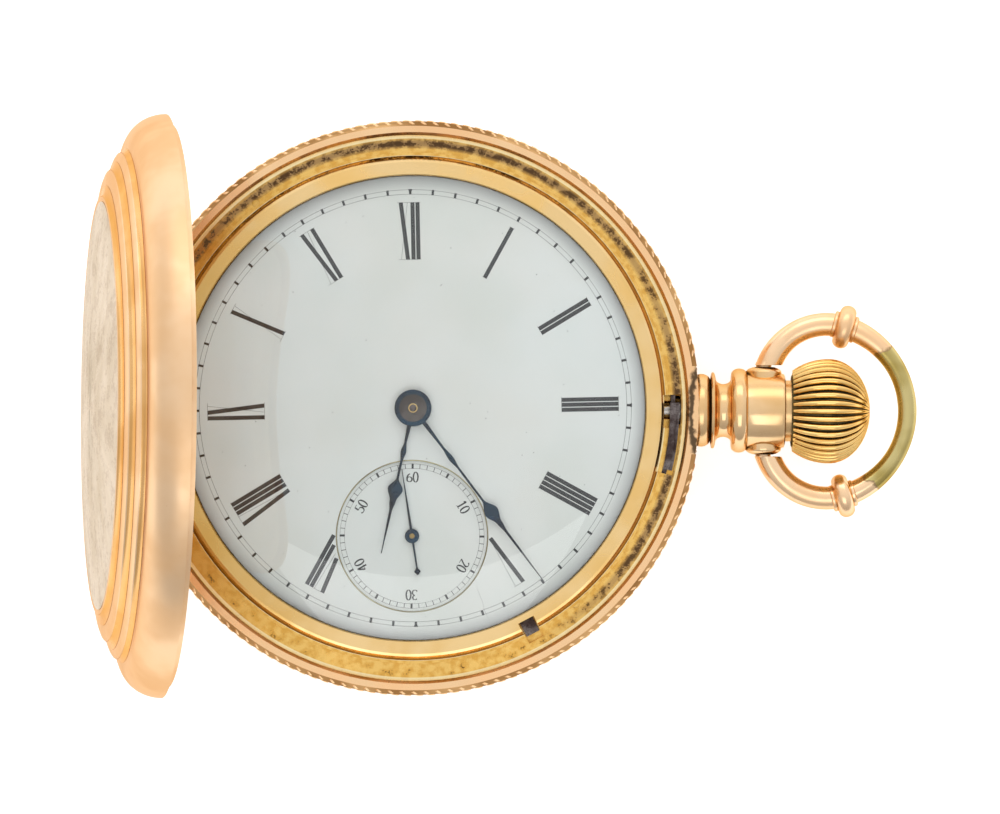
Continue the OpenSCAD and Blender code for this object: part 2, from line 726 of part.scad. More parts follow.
// Pendant, crown and bow

pendant_start = case_r - 0.7;
sleeve_in = pendant_start + 2.1;
crown_hollow = crown_in + 1.4;
neck_r = 3.0;
neck_l = 1.1;

module pendant() {
    bead_w = 1.8;
    disc_w = 0.5;
    groove_w = 1.5;
    collar_w = 1.6;
    bead_end = pendant_start + bead_w;
    groove_start = bead_end + disc_w;
    groove_end = groove_start + groove_w;
    collar_end = groove_end + collar_w;
    root = pendant_start - 0.5;
    // a half-round moulding from x on, w wide, that rises by h from the radius r
    function moulding(x, w, r, h, step) = [for (t = [0 : step : 180])
        [x + w / 2 * (1 - cos(t)), r + h * sin(t)]];
    outline = concat([[root, pendant_bore_r + 0.05], [root, bead_r - 0.7]],
        moulding(pendant_start, bead_w, bead_r - 0.7, 0.7, 15),
        [[bead_end, disc_r - 0.15], [bead_end + 0.2, disc_r], [groove_start - 0.1, disc_r - 0.1]],
        moulding(groove_start, groove_w, groove_r + 0.5, -0.5, 20),
        moulding(groove_end, collar_w, collar_r - 0.6, 0.6, 15),
        [[collar_end + 0.02, barrel_neck_r], [pendant_end - 0.3, barrel_neck_r],
         [pendant_end, barrel_neck_r - 0.3], [pendant_end, neck_r], [pendant_end + neck_l, neck_r],
         [pendant_end + neck_l, pendant_bore_r]]);
    socket_deep = collar_r + 0.25;
    far = crown_out + 5;
    color(gold)
    difference() {
        union() {
            translate([0, 0, stem_z]) rotate([0, 90, 0]) rotate([0, 0, 180])
                rotate_extrude() polygon([for (q = outline) [q[1], q[0]]]);
            difference() {
                along_y(bow_x, stem_z, -socket_deep, socket_deep, socket_r);
                along_x(root, far, pendant_bore_r + 0.2);
            }
        }
        difference() {
            along_y(bow_x, stem_z, -2 * socket_deep, 2 * socket_deep, bow_pivot_r + bow_gap);
            along_x(root, far, pendant_bore_r + 0.55);
        }
        along_x(root - 1, case_r - 0.02, case_r / 2);
    }
}

module push_sleeve() {
    color(steel)
    difference() {
        along_x(sleeve_in, crown_hollow, pendant_bore_r - sleeve_gap);
        along_x(sleeve_in - 1, crown_hollow + 1, stem_r + 0.04);
    }
}

// Square end of the stem in the winding arbor
square_side = 0.84;
square_hole = square_side + 0.06;
stem_in = plate_r - 1.3;
arbor_out = plate_r - 0.2;
arbor_out_r = 0.85;
stem_end = 2.2;

module winding_stem() {
    color(steel)
    union() {
        along_x(arbor_out + 0.8, crown_out - stem_end, stem_r);
        along_x(shoulder_x - shoulder_w, shoulder_x, stem_r + 0.5);
        translate([stem_in, -square_side / 2, stem_z - square_side / 2])
            cube([arbor_out + 1 - stem_in, square_side, square_side]);
    }
}

// Profile of the crown, as distance along the stem and radius
crown_mid = crown_in + 3.7;
function crown_radius(x) = x < crown_mid
    ? crown_r * sqrt(1 - pow((crown_mid - x) / 5.68, 2))
    : crown_r * sqrt(max(0, 1 - pow((x - crown_mid) / (crown_out - crown_mid), 2)));

module crown() {
    rings = 11;
    last = crown_out - 0.16;
    function ring_x(i) = crown_in + (last - crown_in) * sin(90 * i / (rings - 1));
    steps = [0, 0, 1, 1];
    turns = [-0.28, 0.28, 0.42, 0.58];
    points = [for (i = [0 : rings - 1]) for (k = [0 : crown_ribs - 1]) for (j = [0 : 3])
        let (
            x = ring_x(i),
            r = crown_radius(x),
            cut = crown_groove * min(1, r / 3) * (i == 0 ? 0.6 : 1),
            a = (k + turns[j]) * 360 / crown_ribs,
            rr = r - steps[j] * cut)
        [x, rr * sin(a), rr * cos(a)]];
    n = 4 * crown_ribs;
    base = rings * n;
    all_points = concat(points, [[crown_in, 0, 0], [crown_out - 0.02, 0, 0]]);
    sides = [for (i = [0 : rings - 2]) for (k = [0 : n - 1])
        let (a = i * n + k, b = i * n + (k + 1) % n)
        for (f = [[a, b, b + n], [a, b + n, a + n]]) f];
    ends = [for (k = [0 : n - 1])
        for (f = [[base, (k + 1) % n, k], [base + 1, (rings - 1) * n + k, (rings - 1) * n + (k + 1) % n]]) f];
    color(gold)
    difference() {
        translate([0, 0, stem_z]) polyhedron(all_points, concat(sides, ends));
        along_x(crown_in - 1, crown_hollow, neck_r + 0.3);
        along_x(crown_in, crown_out - stem_end, stem_r + 0.01);
    }
}

// The bow: an arc round the crown, a tighter curve at each side that ends flat on its foot, and a
// pivot into its socket
arm_curve_r = 0.7 * bow_ring_r;
arm_foot = [bow_x + bow_lean, collar_r + 0.33];
arm_curve_gap = bow_ring_r - arm_curve_r;
foot_away = norm(arm_foot - [bow_centre_x, 0]);
foot_angle = acos((arm_foot[0] - bow_centre_x) / foot_away);
bow_end_angle = foot_angle - acos((pow(arm_curve_gap, 2) + pow(foot_away, 2) - pow(arm_curve_r, 2))
    / (2 * arm_curve_gap * foot_away));
arm_curve_p = [bow_centre_x, 0] + pol(arm_curve_gap, bow_end_angle);
arm_end_angle = acos((arm_foot[0] - arm_curve_p[0]) / arm_curve_r) + 9;

module wire_arc(ring_r, wire_r, a0, a1) {
    rotate([0, 0, a0]) rotate_extrude(angle = a1 - a0) translate([ring_r, 0]) circle(r = wire_r);
}

// One side of the bow, from the end of its arc to its pivot. The arm is a little stouter.
arm_wire_r = bow_wire_r + 0.08;
bow_arc_overlap = 2.5;

module bow_side() {
    difference() {
        at(arm_curve_p) wire_arc(arm_curve_r, arm_wire_r, bow_end_angle, arm_end_angle);
        translate([bow_x - 4, 0, -4]) cube([8, arm_foot[1], 8]);
    }
    along_y(bow_x, 0, pendant_bore_r + 0.62, arm_foot[1] + 0.3, bow_pivot_r);
    at([bow_centre_x, 0])
        rotate([0, 0, bow_bead_angle])
            translate([bow_ring_r, 0, 0]) rotate([-90, 0, 0]) bow_bead();
}

module bow() {
    arc = bow_end_angle + bow_arc_overlap;
    color(gold)
    translate([0, 0, stem_z])
        union() {
            at([bow_centre_x, 0]) wire_arc(bow_ring_r, bow_wire_r, -arc, arc);
            bow_side();
            mirror([0, 1, 0]) bow_side();
        }
}

module bow_bead() {
    w = 1.1;
    rotate_extrude()
        polygon(concat([[0, -w], [bow_wire_r + 0.25, -w]],
            [for (t = [-60 : 20 : 60]) [bow_bead_r - 0.75 + 0.75 * cos(t), 0.8 * sin(t)]],
            [[bow_wire_r + 0.25, w], [0, w]]));
}

// Dial and hands

hand_hub_r = 1.8;
hour_pipe_r = 1.45;
cannon_pipe_r = 1.0;
dial_hole_r = hour_pipe_r + 0.2;
hour_z = dial_z + 0.35;
minute_z = hour_z + hand_t + 0.15;
second_z = dial_z - seconds_sink + 0.25;
second_pipe_r = 0.35;

module dial() {
    color("ivory")
    difference() {
        disc(dial_r, dial_back_z, dial_z);
        disc(dial_hole_r, dial_back_z - 1, dial_z + 1);
        at(fourth_p, dial_back_z - 1) cylinder(r = seconds_r, h = 3);
    }
}

module seconds_dial() {
    color("ivory")
    difference() {
        at(fourth_p, dial_back_z) cylinder(r = seconds_r, h = dial_t - seconds_sink);
        at(fourth_p, dial_back_z - 1) cylinder(r = second_pipe_r + 0.15, h = 3);
    }
}

dial_pin_r = 0.4;
dial_pin_l = 1.2;
dial_pin_places = [for (a = [120, 215, 330]) pol(plate_r - 1.5, a)];

module dial_pins() {
    color(brass)
    for (p = dial_pin_places) at(p, dial_back_z - dial_pin_l) cylinder(r = dial_pin_r, h = dial_pin_l);
}

// A spade hand pointing up: hub, stem, small swelling, spade and tip
module spade_hand(l, hub, hole, spade_at, spade_w, spade_l, bulb_at) {
    stem_w = 0.3;
    bulb_r = 0.32;
    outline = [[stem_w / 2, 0], [stem_w / 2, spade_at - spade_l * 0.5],
        [spade_w * 0.30, spade_at - spade_l * 0.32], [spade_w / 2, spade_at - spade_l * 0.1],
        [spade_w * 0.42, spade_at + spade_l * 0.12], [0.17, spade_at + spade_l * 0.5], [0.05, l]];
    difference() {
        union() {
            disc(hub, 0, hand_t);
            translate([0, bulb_at, 0]) cylinder(r = bulb_r, h = hand_t);
            linear_extrude(hand_t) polygon(concat(outline, [for (q = reversed(outline)) [-q[0], q[1]]]));
        }
        disc(hole, -1, 1);
    }
}

module hour_hand() {
    color(blued)
    translate([0, 0, hour_z])
        rotate([0, 0, -hour_angle])
            spade_hand(hour_l, hand_hub_r, hour_pipe_r, 8.1, 1.5, 3.4, 4.4);
}

module minute_hand() {
    color(blued)
    translate([0, 0, minute_z])
        rotate([0, 0, -minute_angle])
            spade_hand(minute_l, hand_hub_r, cannon_pipe_r, 12.7, 1.4, 3.2, 6.1);
}

module second_hand() {
    tail = 3.5;
    color(blued)
    at(fourth_p, second_z)
        rotate([0, 0, -second_angle])
            union() {
                linear_extrude(hand_t * 0.8)
                    union() {
                        circle(r = 0.7);
                        polygon([[-0.14, 0], [-0.05, second_l], [0.05, second_l], [0.14, 0],
                            [0.09, -tail], [-0.09, -tail]]);
                        translate([0, -tail]) circle(r = 0.32);
                    }
                translate([0, 0, -0.1]) cylinder(r = 0.55, h = 0.3);
            }
}

// Motion work under the dial

module cannon_pinion() {
    boss_r = 1.35;
    boss_h = 0.25;
    line = line_to(minute_p, centre_p);
    color(steel)
    difference() {
        union() {
            pinion(cannon_leaves, train_m, mesh_phase(line, minute_teeth, cannon_leaves, line),
                cannon_z, minute_pinion_z + 0.1);
            disc(cannon_pipe_r, cannon_z, minute_z + hand_t);
            disc(boss_r, minute_z + hand_t, minute_z + hand_t + boss_h);
        }
        disc(arbor_r + 0.15, 0, dial_z + 5);
    }
}

module minute_wheel() {
    line = line_to(minute_p, centre_p);
    color(brass)
    at(minute_p)
        difference() {
            union() {
                translate([0, 0, minute_wheel_z])
                    linear_extrude(wheel_t) teeth_2d(minute_teeth, train_m, line);
                pinion(minute_leaves, motion_m, mesh_phase(line + 180, hour_teeth, minute_leaves, line + 180),
                    minute_pinion_z, hour_wheel_z + wheel_t);
            }
            disc(minute_post_r + pivot_gap, 0, dial_z);
        }
}

module hour_wheel() {
    color(brass)
    difference() {
        union() {
            translate([0, 0, hour_wheel_z])
                linear_extrude(wheel_t) teeth_2d(hour_teeth, motion_m, line_to(centre_p, minute_p));
            disc(hour_pipe_r, hour_wheel_z, hour_z + hand_t);
        }
        disc(cannon_pipe_r + 0.05, 0, 20);
    }
}

// Plates

pillar_places = [for (a = [100, 175, 250, 350]) pol(plate_r - 2.1, a)];
tenon_l = 0.4;
tenon_r = 0.34;
bridge_pillar_out = tip_r(barrel_teeth, barrel_m) + pillar_r + 0.4;
bridge_pillar_places = [for (a = [135, -45]) barrel_p + pol(bridge_pillar_out, a)];
all_pillar_places = concat(pillar_places, bridge_pillar_places);
bridge_r = bridge_pillar_out + pillar_r + 0.1;
jewel_r = 0.75;
jewel_places = [third_p, fourth_p, escape_p, pallet_p];
plate_jewel_places = [third_p, escape_p, pallet_p];
staff_hole_r = 1.5;
plate_screw_r = 0.34;
plate_screw_l = 1.8;
case_screw_r = 0.5;
wheel_room = 0.25;
minute_post_r = 0.45;
crown_post_r = 0.7;
setting_post_r = 0.6;
barrel_hole_r = 1.5;
click_r = 0.9;
click_spring_r = 9.1;
pinion_x = crown_wheel_p[0] + pitch_r(contrate_teeth, contrate_m) - 0.5;
pinion_room = 0.8;
winding_arbor_r = 0.6;
case_screw_places = [for (a = [70, 205]) pol(top_r - 0.6, a)];

module pillar_plate() {
    block_w = 3.2;
    block_z = stem_z - 1.3;
    click_room_z = spur_z - 0.08;
    color(brass)
    difference() {
        union() {
            disc(plate_r, plate_z0, plate_z1);
            for (x = [[pinion_x - 1.9, pinion_x - pinion_room], [pinion_x + 2.0, plate_r - 0.7]])
                translate([x[0], -block_w / 2, block_z])
                    cube([x[1] - x[0], block_w, plate_z0 - block_z + eps]);
        }
        // recess for the motion work and the winding wheels
        for (c = [[centre_p, tip_r(hour_teeth, motion_m)], [minute_p, tip_r(minute_teeth, train_m)],
                [barrel_p, tip_r(ratchet_teeth, winding_m)], [crown_wheel_p, tip_r(crown_teeth, winding_m)],
                [setting_p, tip_r(setting_teeth, winding_m)]])
            at(c[0], recess_z) cylinder(r = c[1] + wheel_room, h = 5);
        at(click_p, click_room_z) cylinder(r = click_r + 0.2, h = 5);
        at(barrel_p)
            ring_part(tip_r(ratchet_teeth, winding_m) - 0.2, click_spring_r + 0.4, 76, 133,
                click_room_z, dial_z);
        at(click_p) disc(click_stud_r + pivot_gap, 0, dial_z);
        disc(arbor_r + 0.15 + pivot_gap, 0, dial_z);
        at(fourth_p) disc(second_pipe_r + 0.1, 0, dial_z);
        at(barrel_p) disc(barrel_hole_r + pivot_gap, 0, dial_z);
        for (p = plate_jewel_places) {
            at(p) disc(jewel_r, 0, plate_z0 + 0.8);
            at(p) disc(pivot_r + pivot_gap, 0, dial_z);
        }
        for (p = dial_pin_places) at(p) disc(dial_pin_r + 0.02, 0, dial_z);
        translate([pinion_x - pinion_room, -1.6, 0]) cube([pinion_room + 2.0, 3.2, dial_z]);
        along_x(pinion_x - 2.4, pinion_x + 1, winding_arbor_r + pivot_gap);
        along_x(pinion_x + 1, plate_r + 1, arbor_out_r + pivot_gap);
        lever_way(0.08, 0);
        for (p = case_screw_places) at(p) disc(case_screw_r + 0.02, 0, plate_z0 + 1.2);
        for (p = all_pillar_places) at(p) disc(tenon_r + 0.01, 0, plate_z0 + tenon_l + 0.03);
    }
}

// Outline of the bridge over the barrel, or with a gap of the room for it
module bridge_2d(gap = 0) {
    difference() {
        translate(barrel_p) circle(r = bridge_r + gap);
        circle(r = 3.0 - gap);
        translate(balance_p) circle(r = staff_hole_r + 1.2 - gap);
    }
}

module top_plate() {
    color(brass)
    translate([0, 0, top_z0])
        difference() {
            linear_extrude(top_t)
                difference() {
                    circle(r = top_r);
                    bridge_2d(0.06);
                    translate(balance_p) circle(r = staff_hole_r);
                    circle(r = jewel_r);
                    for (p = jewel_places) translate(p) circle(r = jewel_r);
                    for (p = pillar_places) translate(p) circle(r = plate_screw_r + 0.21);
                    for (p = cock_screw_places) translate(p) circle(r = cock_screw_r + 0.02);
                }
        }
}

module barrel_bridge() {
    color(brass)
    translate([0, 0, top_z0])
        linear_extrude(top_t)
            difference() {
                intersection() {
                    circle(r = top_r);
                    bridge_2d();
                }
                translate(barrel_p) circle(r = barrel_pivot_r + pivot_gap);
                for (p = bridge_pillar_places) translate(p) circle(r = plate_screw_r + 0.21);
            }
}

module pillars() {
    color(brass)
    for (p = all_pillar_places)
        at(p)
            difference() {
                union() {
                    disc(pillar_r, top_z1, plate_z0);
                    disc(tenon_r, plate_z0 - eps, plate_z0 + tenon_l);
                }
                disc(plate_screw_r + 0.02, top_z1 - 1, top_z1 + plate_screw_l + 0.2);
            }
}

module plate_screws() {
    color(blued)
    for (p = all_pillar_places)
        at(p, top_z0) mirror([0, 0, 1]) screw(0.95, 0.3, plate_screw_r, top_t + plate_screw_l);
}

module plate_jewels() {
    color(ruby)
    for (p = concat([centre_p], jewel_places))
        at(p) collar(jewel_r, pivot_r + pivot_gap, top_z0 + 0.3, top_z1 - 0.05);
    color(ruby)
    for (p = plate_jewel_places)
        at(p) collar(jewel_r, pivot_r + pivot_gap, plate_z0 + 0.05, plate_z0 + 0.7);
}

// Going barrel

core_r = 2.9;
drum_r = pitch_r(barrel_teeth, barrel_m) - 0.22;
barrel_pivot_r = 1.3;
drum_wall = 0.4;
ratchet_square = 1.6;
barrel_tooth_t = 0.5;

module barrel() {
    color(brass)
    at(barrel_p)
        difference() {
            union() {
                disc(drum_r, drum_z0, drum_z1);
                translate([0, 0, drum_z1 - barrel_tooth_t])
                    linear_extrude(barrel_tooth_t)
                        teeth_2d(barrel_teeth, barrel_m, line_to(barrel_p, centre_p));
            }
            disc(drum_r - drum_wall, drum_z0 + drum_wall, drum_z1 - drum_wall);
            disc(barrel_pivot_r + 0.05 + pivot_gap, 0, dial_z);
        }
}

module barrel_arbor() {
    core_z0 = drum_z0 + drum_wall + 0.05;
    core_z1 = drum_z1 - drum_wall - 0.05;
    color(steel)
    at(barrel_p) {
        disc(barrel_pivot_r, top_z0 + 0.1, spur_z);
        disc(core_r, core_z0, core_z1);
        translate([-ratchet_square / 2, -ratchet_square / 2, spur_z - eps])
            cube([ratchet_square, ratchet_square, spur_t + 0.1]);
    }
}

// A flat spiral strip, from its inner to its outer radius in a number of turns
module spiral_2d(r0, r1, turns, w, start = 0) {
    n = round(turns * 24);
    function mid(i) = r0 + (r1 - r0) * i / n;
    function turn(i) = start + 360 * turns * i / n;
    polygon(concat(
        [for (i = [0 : n]) pol(mid(i) + w / 2, turn(i))],
        [for (i = [n : -1 : 0]) pol(mid(i) - w / 2, turn(i))]));
}

module mainspring() {
    color(steel)
    at(barrel_p, drum_z0 + drum_wall + 0.1)
        linear_extrude(drum_z1 - drum_z0 - 2 * drum_wall - 0.2)
            spiral_2d(core_r + 0.2, drum_r - drum_wall - 0.11, 8, 0.22);
}

// Going train

module centre_wheel() {
    pinion_z1 = plate_z0 - 0.1;
    color(brass)
    union() {
        train_wheel(centre_teeth, train_m, line_to(centre_p, third_p), centre_wheel_z, 5, 1.4);
        pinion(centre_leaves, barrel_m, mesh_phase(line_to(barrel_p, centre_p), barrel_teeth, centre_leaves,
            line_to(barrel_p, centre_p)), pinion_z1 - 0.75, pinion_z1);
        disc(0.6, top_z1 + 0.12, plate_z0 - 0.1);
        disc(pivot_r, top_z1 - 0.5, top_z1 + 0.2);
        disc(arbor_r + 0.14, plate_z0 - 0.2, minute_z + hand_t + 0.3);
    }
}

module third_wheel() {
    line = line_to(third_p, fourth_p);
    color(brass)
    at(third_p) {
        train_wheel(third_teeth, train_m, line, third_wheel_z, 5);
        pinion(third_leaves, train_m, mesh_phase(line_to(centre_p, third_p), centre_teeth, third_leaves,
            line_to(centre_p, third_p)), top_z1 + 0.2, top_z1 + 0.8);
        arbor();
    }
}

module fourth_wheel() {
    line = line_to(fourth_p, escape_p);
    color(brass)
    at(fourth_p) {
        train_wheel(fourth_teeth, fourth_m, line, fourth_wheel_z, 5);
        pinion(fourth_leaves, train_m, mesh_phase(line_to(third_p, fourth_p), third_teeth, fourth_leaves,
            line_to(third_p, fourth_p)), third_wheel_z - 0.15, third_wheel_z + wheel_t + 0.15);
        disc(arbor_r, top_z1 + 0.15, plate_z0 - 0.15);
        disc(pivot_r, top_z1 - 0.5, top_z1 + 0.2);
        disc(0.25, plate_z0 - 0.2, second_z - 0.1);
    }
}

// Escape wheel with pointed club teeth that lean the way it turns
module escape_2d() {
    p = 360 / escape_teeth;
    root = escape_r - 0.85;
    // one tooth as [radius, share of the pitch]
    tooth = [[root, 0.02], [root + 0.1, 0.42], [escape_r - 0.18, 0.62], [escape_r, 0.58],
        [escape_r - 0.06, 0.78], [root + 0.3, 0.74], [root, 0.86]];
    polygon([for (i = [0 : escape_teeth - 1]) for (c = tooth) pol(c[0], (i + c[1]) * p)]);
}

module escape_wheel() {
    color(brass)
    at(escape_p) {
        translate([0, 0, escape_z])
            linear_extrude(wheel_t)
                difference() {
                    escape_2d();
                    difference() {
                        circle(r = 2.0);
                        circle(r = 0.8);
                        for (i = [0 : 3]) rotate(i * 90) translate([0, -0.2]) square([2.2, 0.4]);
                    }
                }
        pinion(escape_leaves, fourth_m, mesh_phase(line_to(fourth_p, escape_p), fourth_teeth, escape_leaves,
            line_to(fourth_p, escape_p)), fourth_wheel_z - 0.15, fourth_wheel_z + wheel_t + 0.15);
        arbor();
    }
}

// Escapement. The stones lie just under the escape wheel and the impulse jewel just clear of the fork.
stone_a = 30;
fork_t = 0.25;
fork_gap = 0.07;
fork_z0 = escape_z + wheel_t + fork_gap;
stone_t = fork_t;

module fork_frame() {
    at(pallet_p) rotate([0, 0, escape_line]) children();
}

module pallet_fork() {
    horn_at = fork_l - 0.55;
    color(steel)
    fork_frame()
        difference() {
            union() {
                translate([0, 0, fork_z0])
                    linear_extrude(fork_t)
                        union() {
                            circle(r = 0.6);
                            translate([0, -0.22]) square([horn_at - 0.5, 0.44]);
                            difference() {
                                translate([horn_at - 0.75, -0.55]) square([0.95, 1.1]);
                                translate([horn_at - 0.4, -0.24]) square([1, 0.48]);
                            }
                            for (side = [-1, 1])
                                polygon([[-0.3, side * 0.3], [0.3, side * 0.4], [-0.45, side * 2.15],
                                    [-1.05, side * 2.05]]);
                        }
                disc(0.25, top_z1 + 0.15, plate_z0 - 0.15);
                disc(pivot_r, top_z1 - 0.5, plate_z0 + 0.5);
            }
            stones();
        }
}

module stones() {
    for (side = [-1, 1])
        translate([-1.4, side * 1.8 - 0.16, fork_z0]) cube([0.75, 0.32, fork_t]);
}

module pallet_stones() {
    color(ruby) fork_frame() stones();
}

// Balance

staff_low_z = plate_z0 - 1.3;
roller_z = fork_z0 - 0.95;

module balance_wheel() {
    rim_w = 0.85;
    color(worn_gold)
    at(balance_p)
        union() {
            translate([0, 0, balance_z])
                linear_extrude(balance_t)
                    difference() {
                        circle(r = balance_r);
                        difference() {
                            circle(r = balance_r - rim_w);
                            circle(r = 0.95);
                            rotate(20) translate([-balance_r, -0.45]) square([2 * balance_r, 0.9]);
                        }
                        circle(r = 0.35);
                    }
        }
}

module balance_staff() {
    color(steel)
    at(balance_p) union() {
        disc(0.35, cock_z1 + 0.05, staff_low_z - 0.1);
        disc(0.09, cock_z1 - 0.28, staff_low_z + 0.3);
        disc(0.7, hairspring_z - 0.05, hairspring_z + hairspring_h + 0.05);
    }
}

module roller() {
    color(steel)
    at(balance_p) collar(1.25, 0.35, roller_z, roller_z + 0.25);
}

module impulse_jewel() {
    color(ruby)
    at(balance_p)
        rotate([0, 0, escape_line + 180])
            translate([0.9, 0, roller_z + 0.25]) cylinder(r = 0.2, h = fork_z0 - fork_gap - roller_z - 0.25);
}

hairspring_out = 3.4;
hairspring_start = 40;

module hairspring() {
    color(blued)
    at(balance_p, hairspring_z)
        linear_extrude(hairspring_h)
            spiral_2d(0.75, hairspring_out, 5.5, 0.1, hairspring_start);
}

cock_line = -37;
cock_foot_p = pol(top_r - 1.7, cock_line);
cock_foot_r = 7.4;
cock_screw_r = 0.4;
cock_head_r = 0.75;
cock_head_gap = 0.9;
cock_screw_out = balance_r + cock_head_gap + cock_head_r;
cock_screw_places = [for (a = [-78, 5]) balance_p + pol(cock_screw_out, a)];

module balance_cock() {
    foot_gap = 0.3;
    color(brass)
    union() {
        translate([0, 0, cock_z0])
            linear_extrude(cock_t)
                difference() {
                    intersection() {
                        circle(r = top_r - 0.4);
                        union() {
                            translate(cock_foot_p) circle(r = cock_foot_r);
                            translate(balance_p) circle(r = 3.9);
                        }
                    }
                    translate(balance_p) circle(r = 1.1);
                    for (p = cock_screw_places) translate(p) circle(r = cock_screw_r + 0.05);
                }
        translate([0, 0, cock_z0])
            linear_extrude(top_z0 - cock_z0)
                difference() {
                    intersection() {
                        circle(r = top_r - 0.4);
                        translate(cock_foot_p) circle(r = cock_foot_r);
                    }
                    translate(balance_p) circle(r = balance_r + foot_gap);
                    for (p = cock_screw_places) translate(p) circle(r = cock_screw_r + 0.05);
                }
        at(balance_p + pol(hairspring_out + 0.35, hairspring_start + 180))
            disc(0.3, cock_z1 - eps, hairspring_z + hairspring_h);
    }
}

module cock_screws() {
    color(blued)
    for (p = cock_screw_places)
        at(p, cock_z0) mirror([0, 0, 1]) screw(cock_head_r, 0.2, cock_screw_r, top_z0 - cock_z0 + 0.9);
}

module cap_jewel() {
    color(ruby)
    at(balance_p) {
        collar(1.1, 0.09 + pivot_gap, cock_z0 + 0.3, cock_z1);
        disc(0.9, cock_z0 + 0.05, cock_z0 + 0.28);
    }
}

module regulator() {
    color(steel)
    at(balance_p)
        translate([0, 0, cock_z0 - 0.2])
            linear_extrude(0.2)
                difference() {
                    union() {
                        circle(r = 1.7);
                        rotate(cock_line - 38) translate([0, -0.2]) square([7.5, 0.4]);
                        rotate(cock_line - 38) translate([7.5, 0]) circle(r = 0.4);
                    }
                    circle(r = 1.05);
                }
}

// Bracket inside the top plate that holds the balance staff's inner pivot
module potence() {
    arm_z = staff_low_z;
    foot = pol(3.6, escape_line - 30);
    color(brass)
    at(balance_p)
        difference() {
            union() {
                at(foot) disc(0.9, top_z1, arm_z + 0.6);
                translate([0, 0, arm_z])
                    linear_extrude(0.6)
                        union() {
                            circle(r = 0.9);
                            rotate(escape_line - 30) translate([0, -0.7]) square([3.6, 1.4]);
                        }
            }
            disc(0.09 + pivot_gap, 0, arm_z + 0.4);
        }
}

// Winding and setting work

module winding_pinion() {
    color(steel)
    difference() {
        union() {
            along_x(pinion_x - 2.2, pinion_x + 2.0, winding_arbor_r);
            along_x(pinion_x + 0.9, arbor_out, arbor_out_r);
            translate([pinion_x, 0, stem_z])
                rotate([0, 90, 0])
                    pinion(winding_leaves, contrate_m, 180 + 180 / winding_leaves, 0, 1.0);
        }
        translate([stem_in - push_travel - 0.15, -square_hole / 2, stem_z - square_hole / 2])
            cube([4, square_hole, square_hole]);
    }
}

module crown_wheel() {
    tooth_w = PI * contrate_m;
    low = stem_z + pitch_r(winding_leaves, contrate_m) - 0.85 * contrate_m;
    r = pitch_r(contrate_teeth, contrate_m);
    color(steel)
    at(crown_wheel_p)
        difference() {
            union() {
                translate([0, 0, spur_z])
                    linear_extrude(spur_t)
                        teeth_2d(crown_teeth, winding_m, line_to(crown_wheel_p, barrel_p));
                for (i = [0 : contrate_teeth - 1])
                    rotate([0, 0, i * 360 / contrate_teeth])
                        translate([r - 0.3, 0, 0])
                            rotate([90, 0, 90])
                                linear_extrude(0.6)
                                    polygon([[-tooth_w * 0.24, spur_z + eps], [-tooth_w * 0.1, low],
                                        [tooth_w * 0.1, low], [tooth_w * 0.24, spur_z + eps]]);
            }
            disc(crown_post_r + pivot_gap, 0, dial_z);
        }
}

module setting_wheel() {
    line = line_to(crown_wheel_p, setting_p);
    color(steel)
    at(setting_p)
        difference() {
            translate([0, 0, minute_wheel_z])
                linear_extrude(spur_z + spur_t - minute_wheel_z)
                    teeth_2d(setting_teeth, winding_m,
                        mesh_phase(line_to(crown_wheel_p, barrel_p), crown_teeth, setting_teeth, line));
            disc(setting_post_r + pivot_gap, 0, dial_z);
        }
}

// The yoke under the two wheels, with the posts on which they turn
module winding_yoke() {
    color(steel)
    union() {
        translate([0, 0, recess_z])
            linear_extrude(0.12)
                union() {
                    translate(crown_wheel_p) circle(r = 1.4);
                    translate(setting_p) circle(r = 1.8);
                    translate(crown_wheel_p) rotate(-140) translate([0, -0.9]) square([7, 1.8]);
                }
        at(crown_wheel_p) disc(crown_post_r, recess_z, spur_z + spur_t + 0.05);
        at(setting_p) disc(setting_post_r, recess_z, spur_z + spur_t + 0.05);
        at(minute_p) disc(minute_post_r, recess_z, hour_wheel_z + wheel_t + 0.1);
    }
}

module ratchet_wheel() {
    line = line_to(crown_wheel_p, barrel_p);
    color(steel)
    at(barrel_p, spur_z)
        linear_extrude(spur_t)
            difference() {
                teeth_2d(ratchet_teeth, winding_m, mesh_phase(line, crown_teeth, ratchet_teeth, line));
                square(ratchet_square + 0.02, center = true);
            }
}

click_p = barrel_p + pol(8.1, 100);

click_stud_r = 0.35;

module click() {
    color(steel)
    at(click_p, spur_z)
        union() {
            linear_extrude(spur_t)
                union() {
                    circle(r = click_r);
                    rotate(-58) translate([0, -0.3]) square([2.1, 0.6]);
                }
            disc(click_stud_r, -0.6, eps);
        }
}

module click_spring() {
    color(steel)
    at(barrel_p) ring_part(click_spring_r, click_spring_r + 0.25, 103, 130, spur_z, spur_z + spur_t);
}

module setting_lever() {
    color(steel)
    rotate([0, 0, lever_angle])
        union() {
            translate([lever_in, -lever_w / 2, lever_z]) cube([lever_out - lever_in, lever_w, lever_t]);
            translate([tab_in, -lever_w / 2, lever_z])
                cube([lever_out - tab_in, lever_w, tab_z + tab_t - lever_z]);
            translate([tab_in, -lever_w / 2, tab_z]) cube([tab_out - tab_in, lever_w, tab_t]);
        }
}

module case_screws() {
    color(steel)
    for (p = case_screw_places)
        at(p, plate_ledge_z - 0.02) mirror([0, 0, 1]) screw(1.25, 0.45, case_screw_r, 1.6);
}

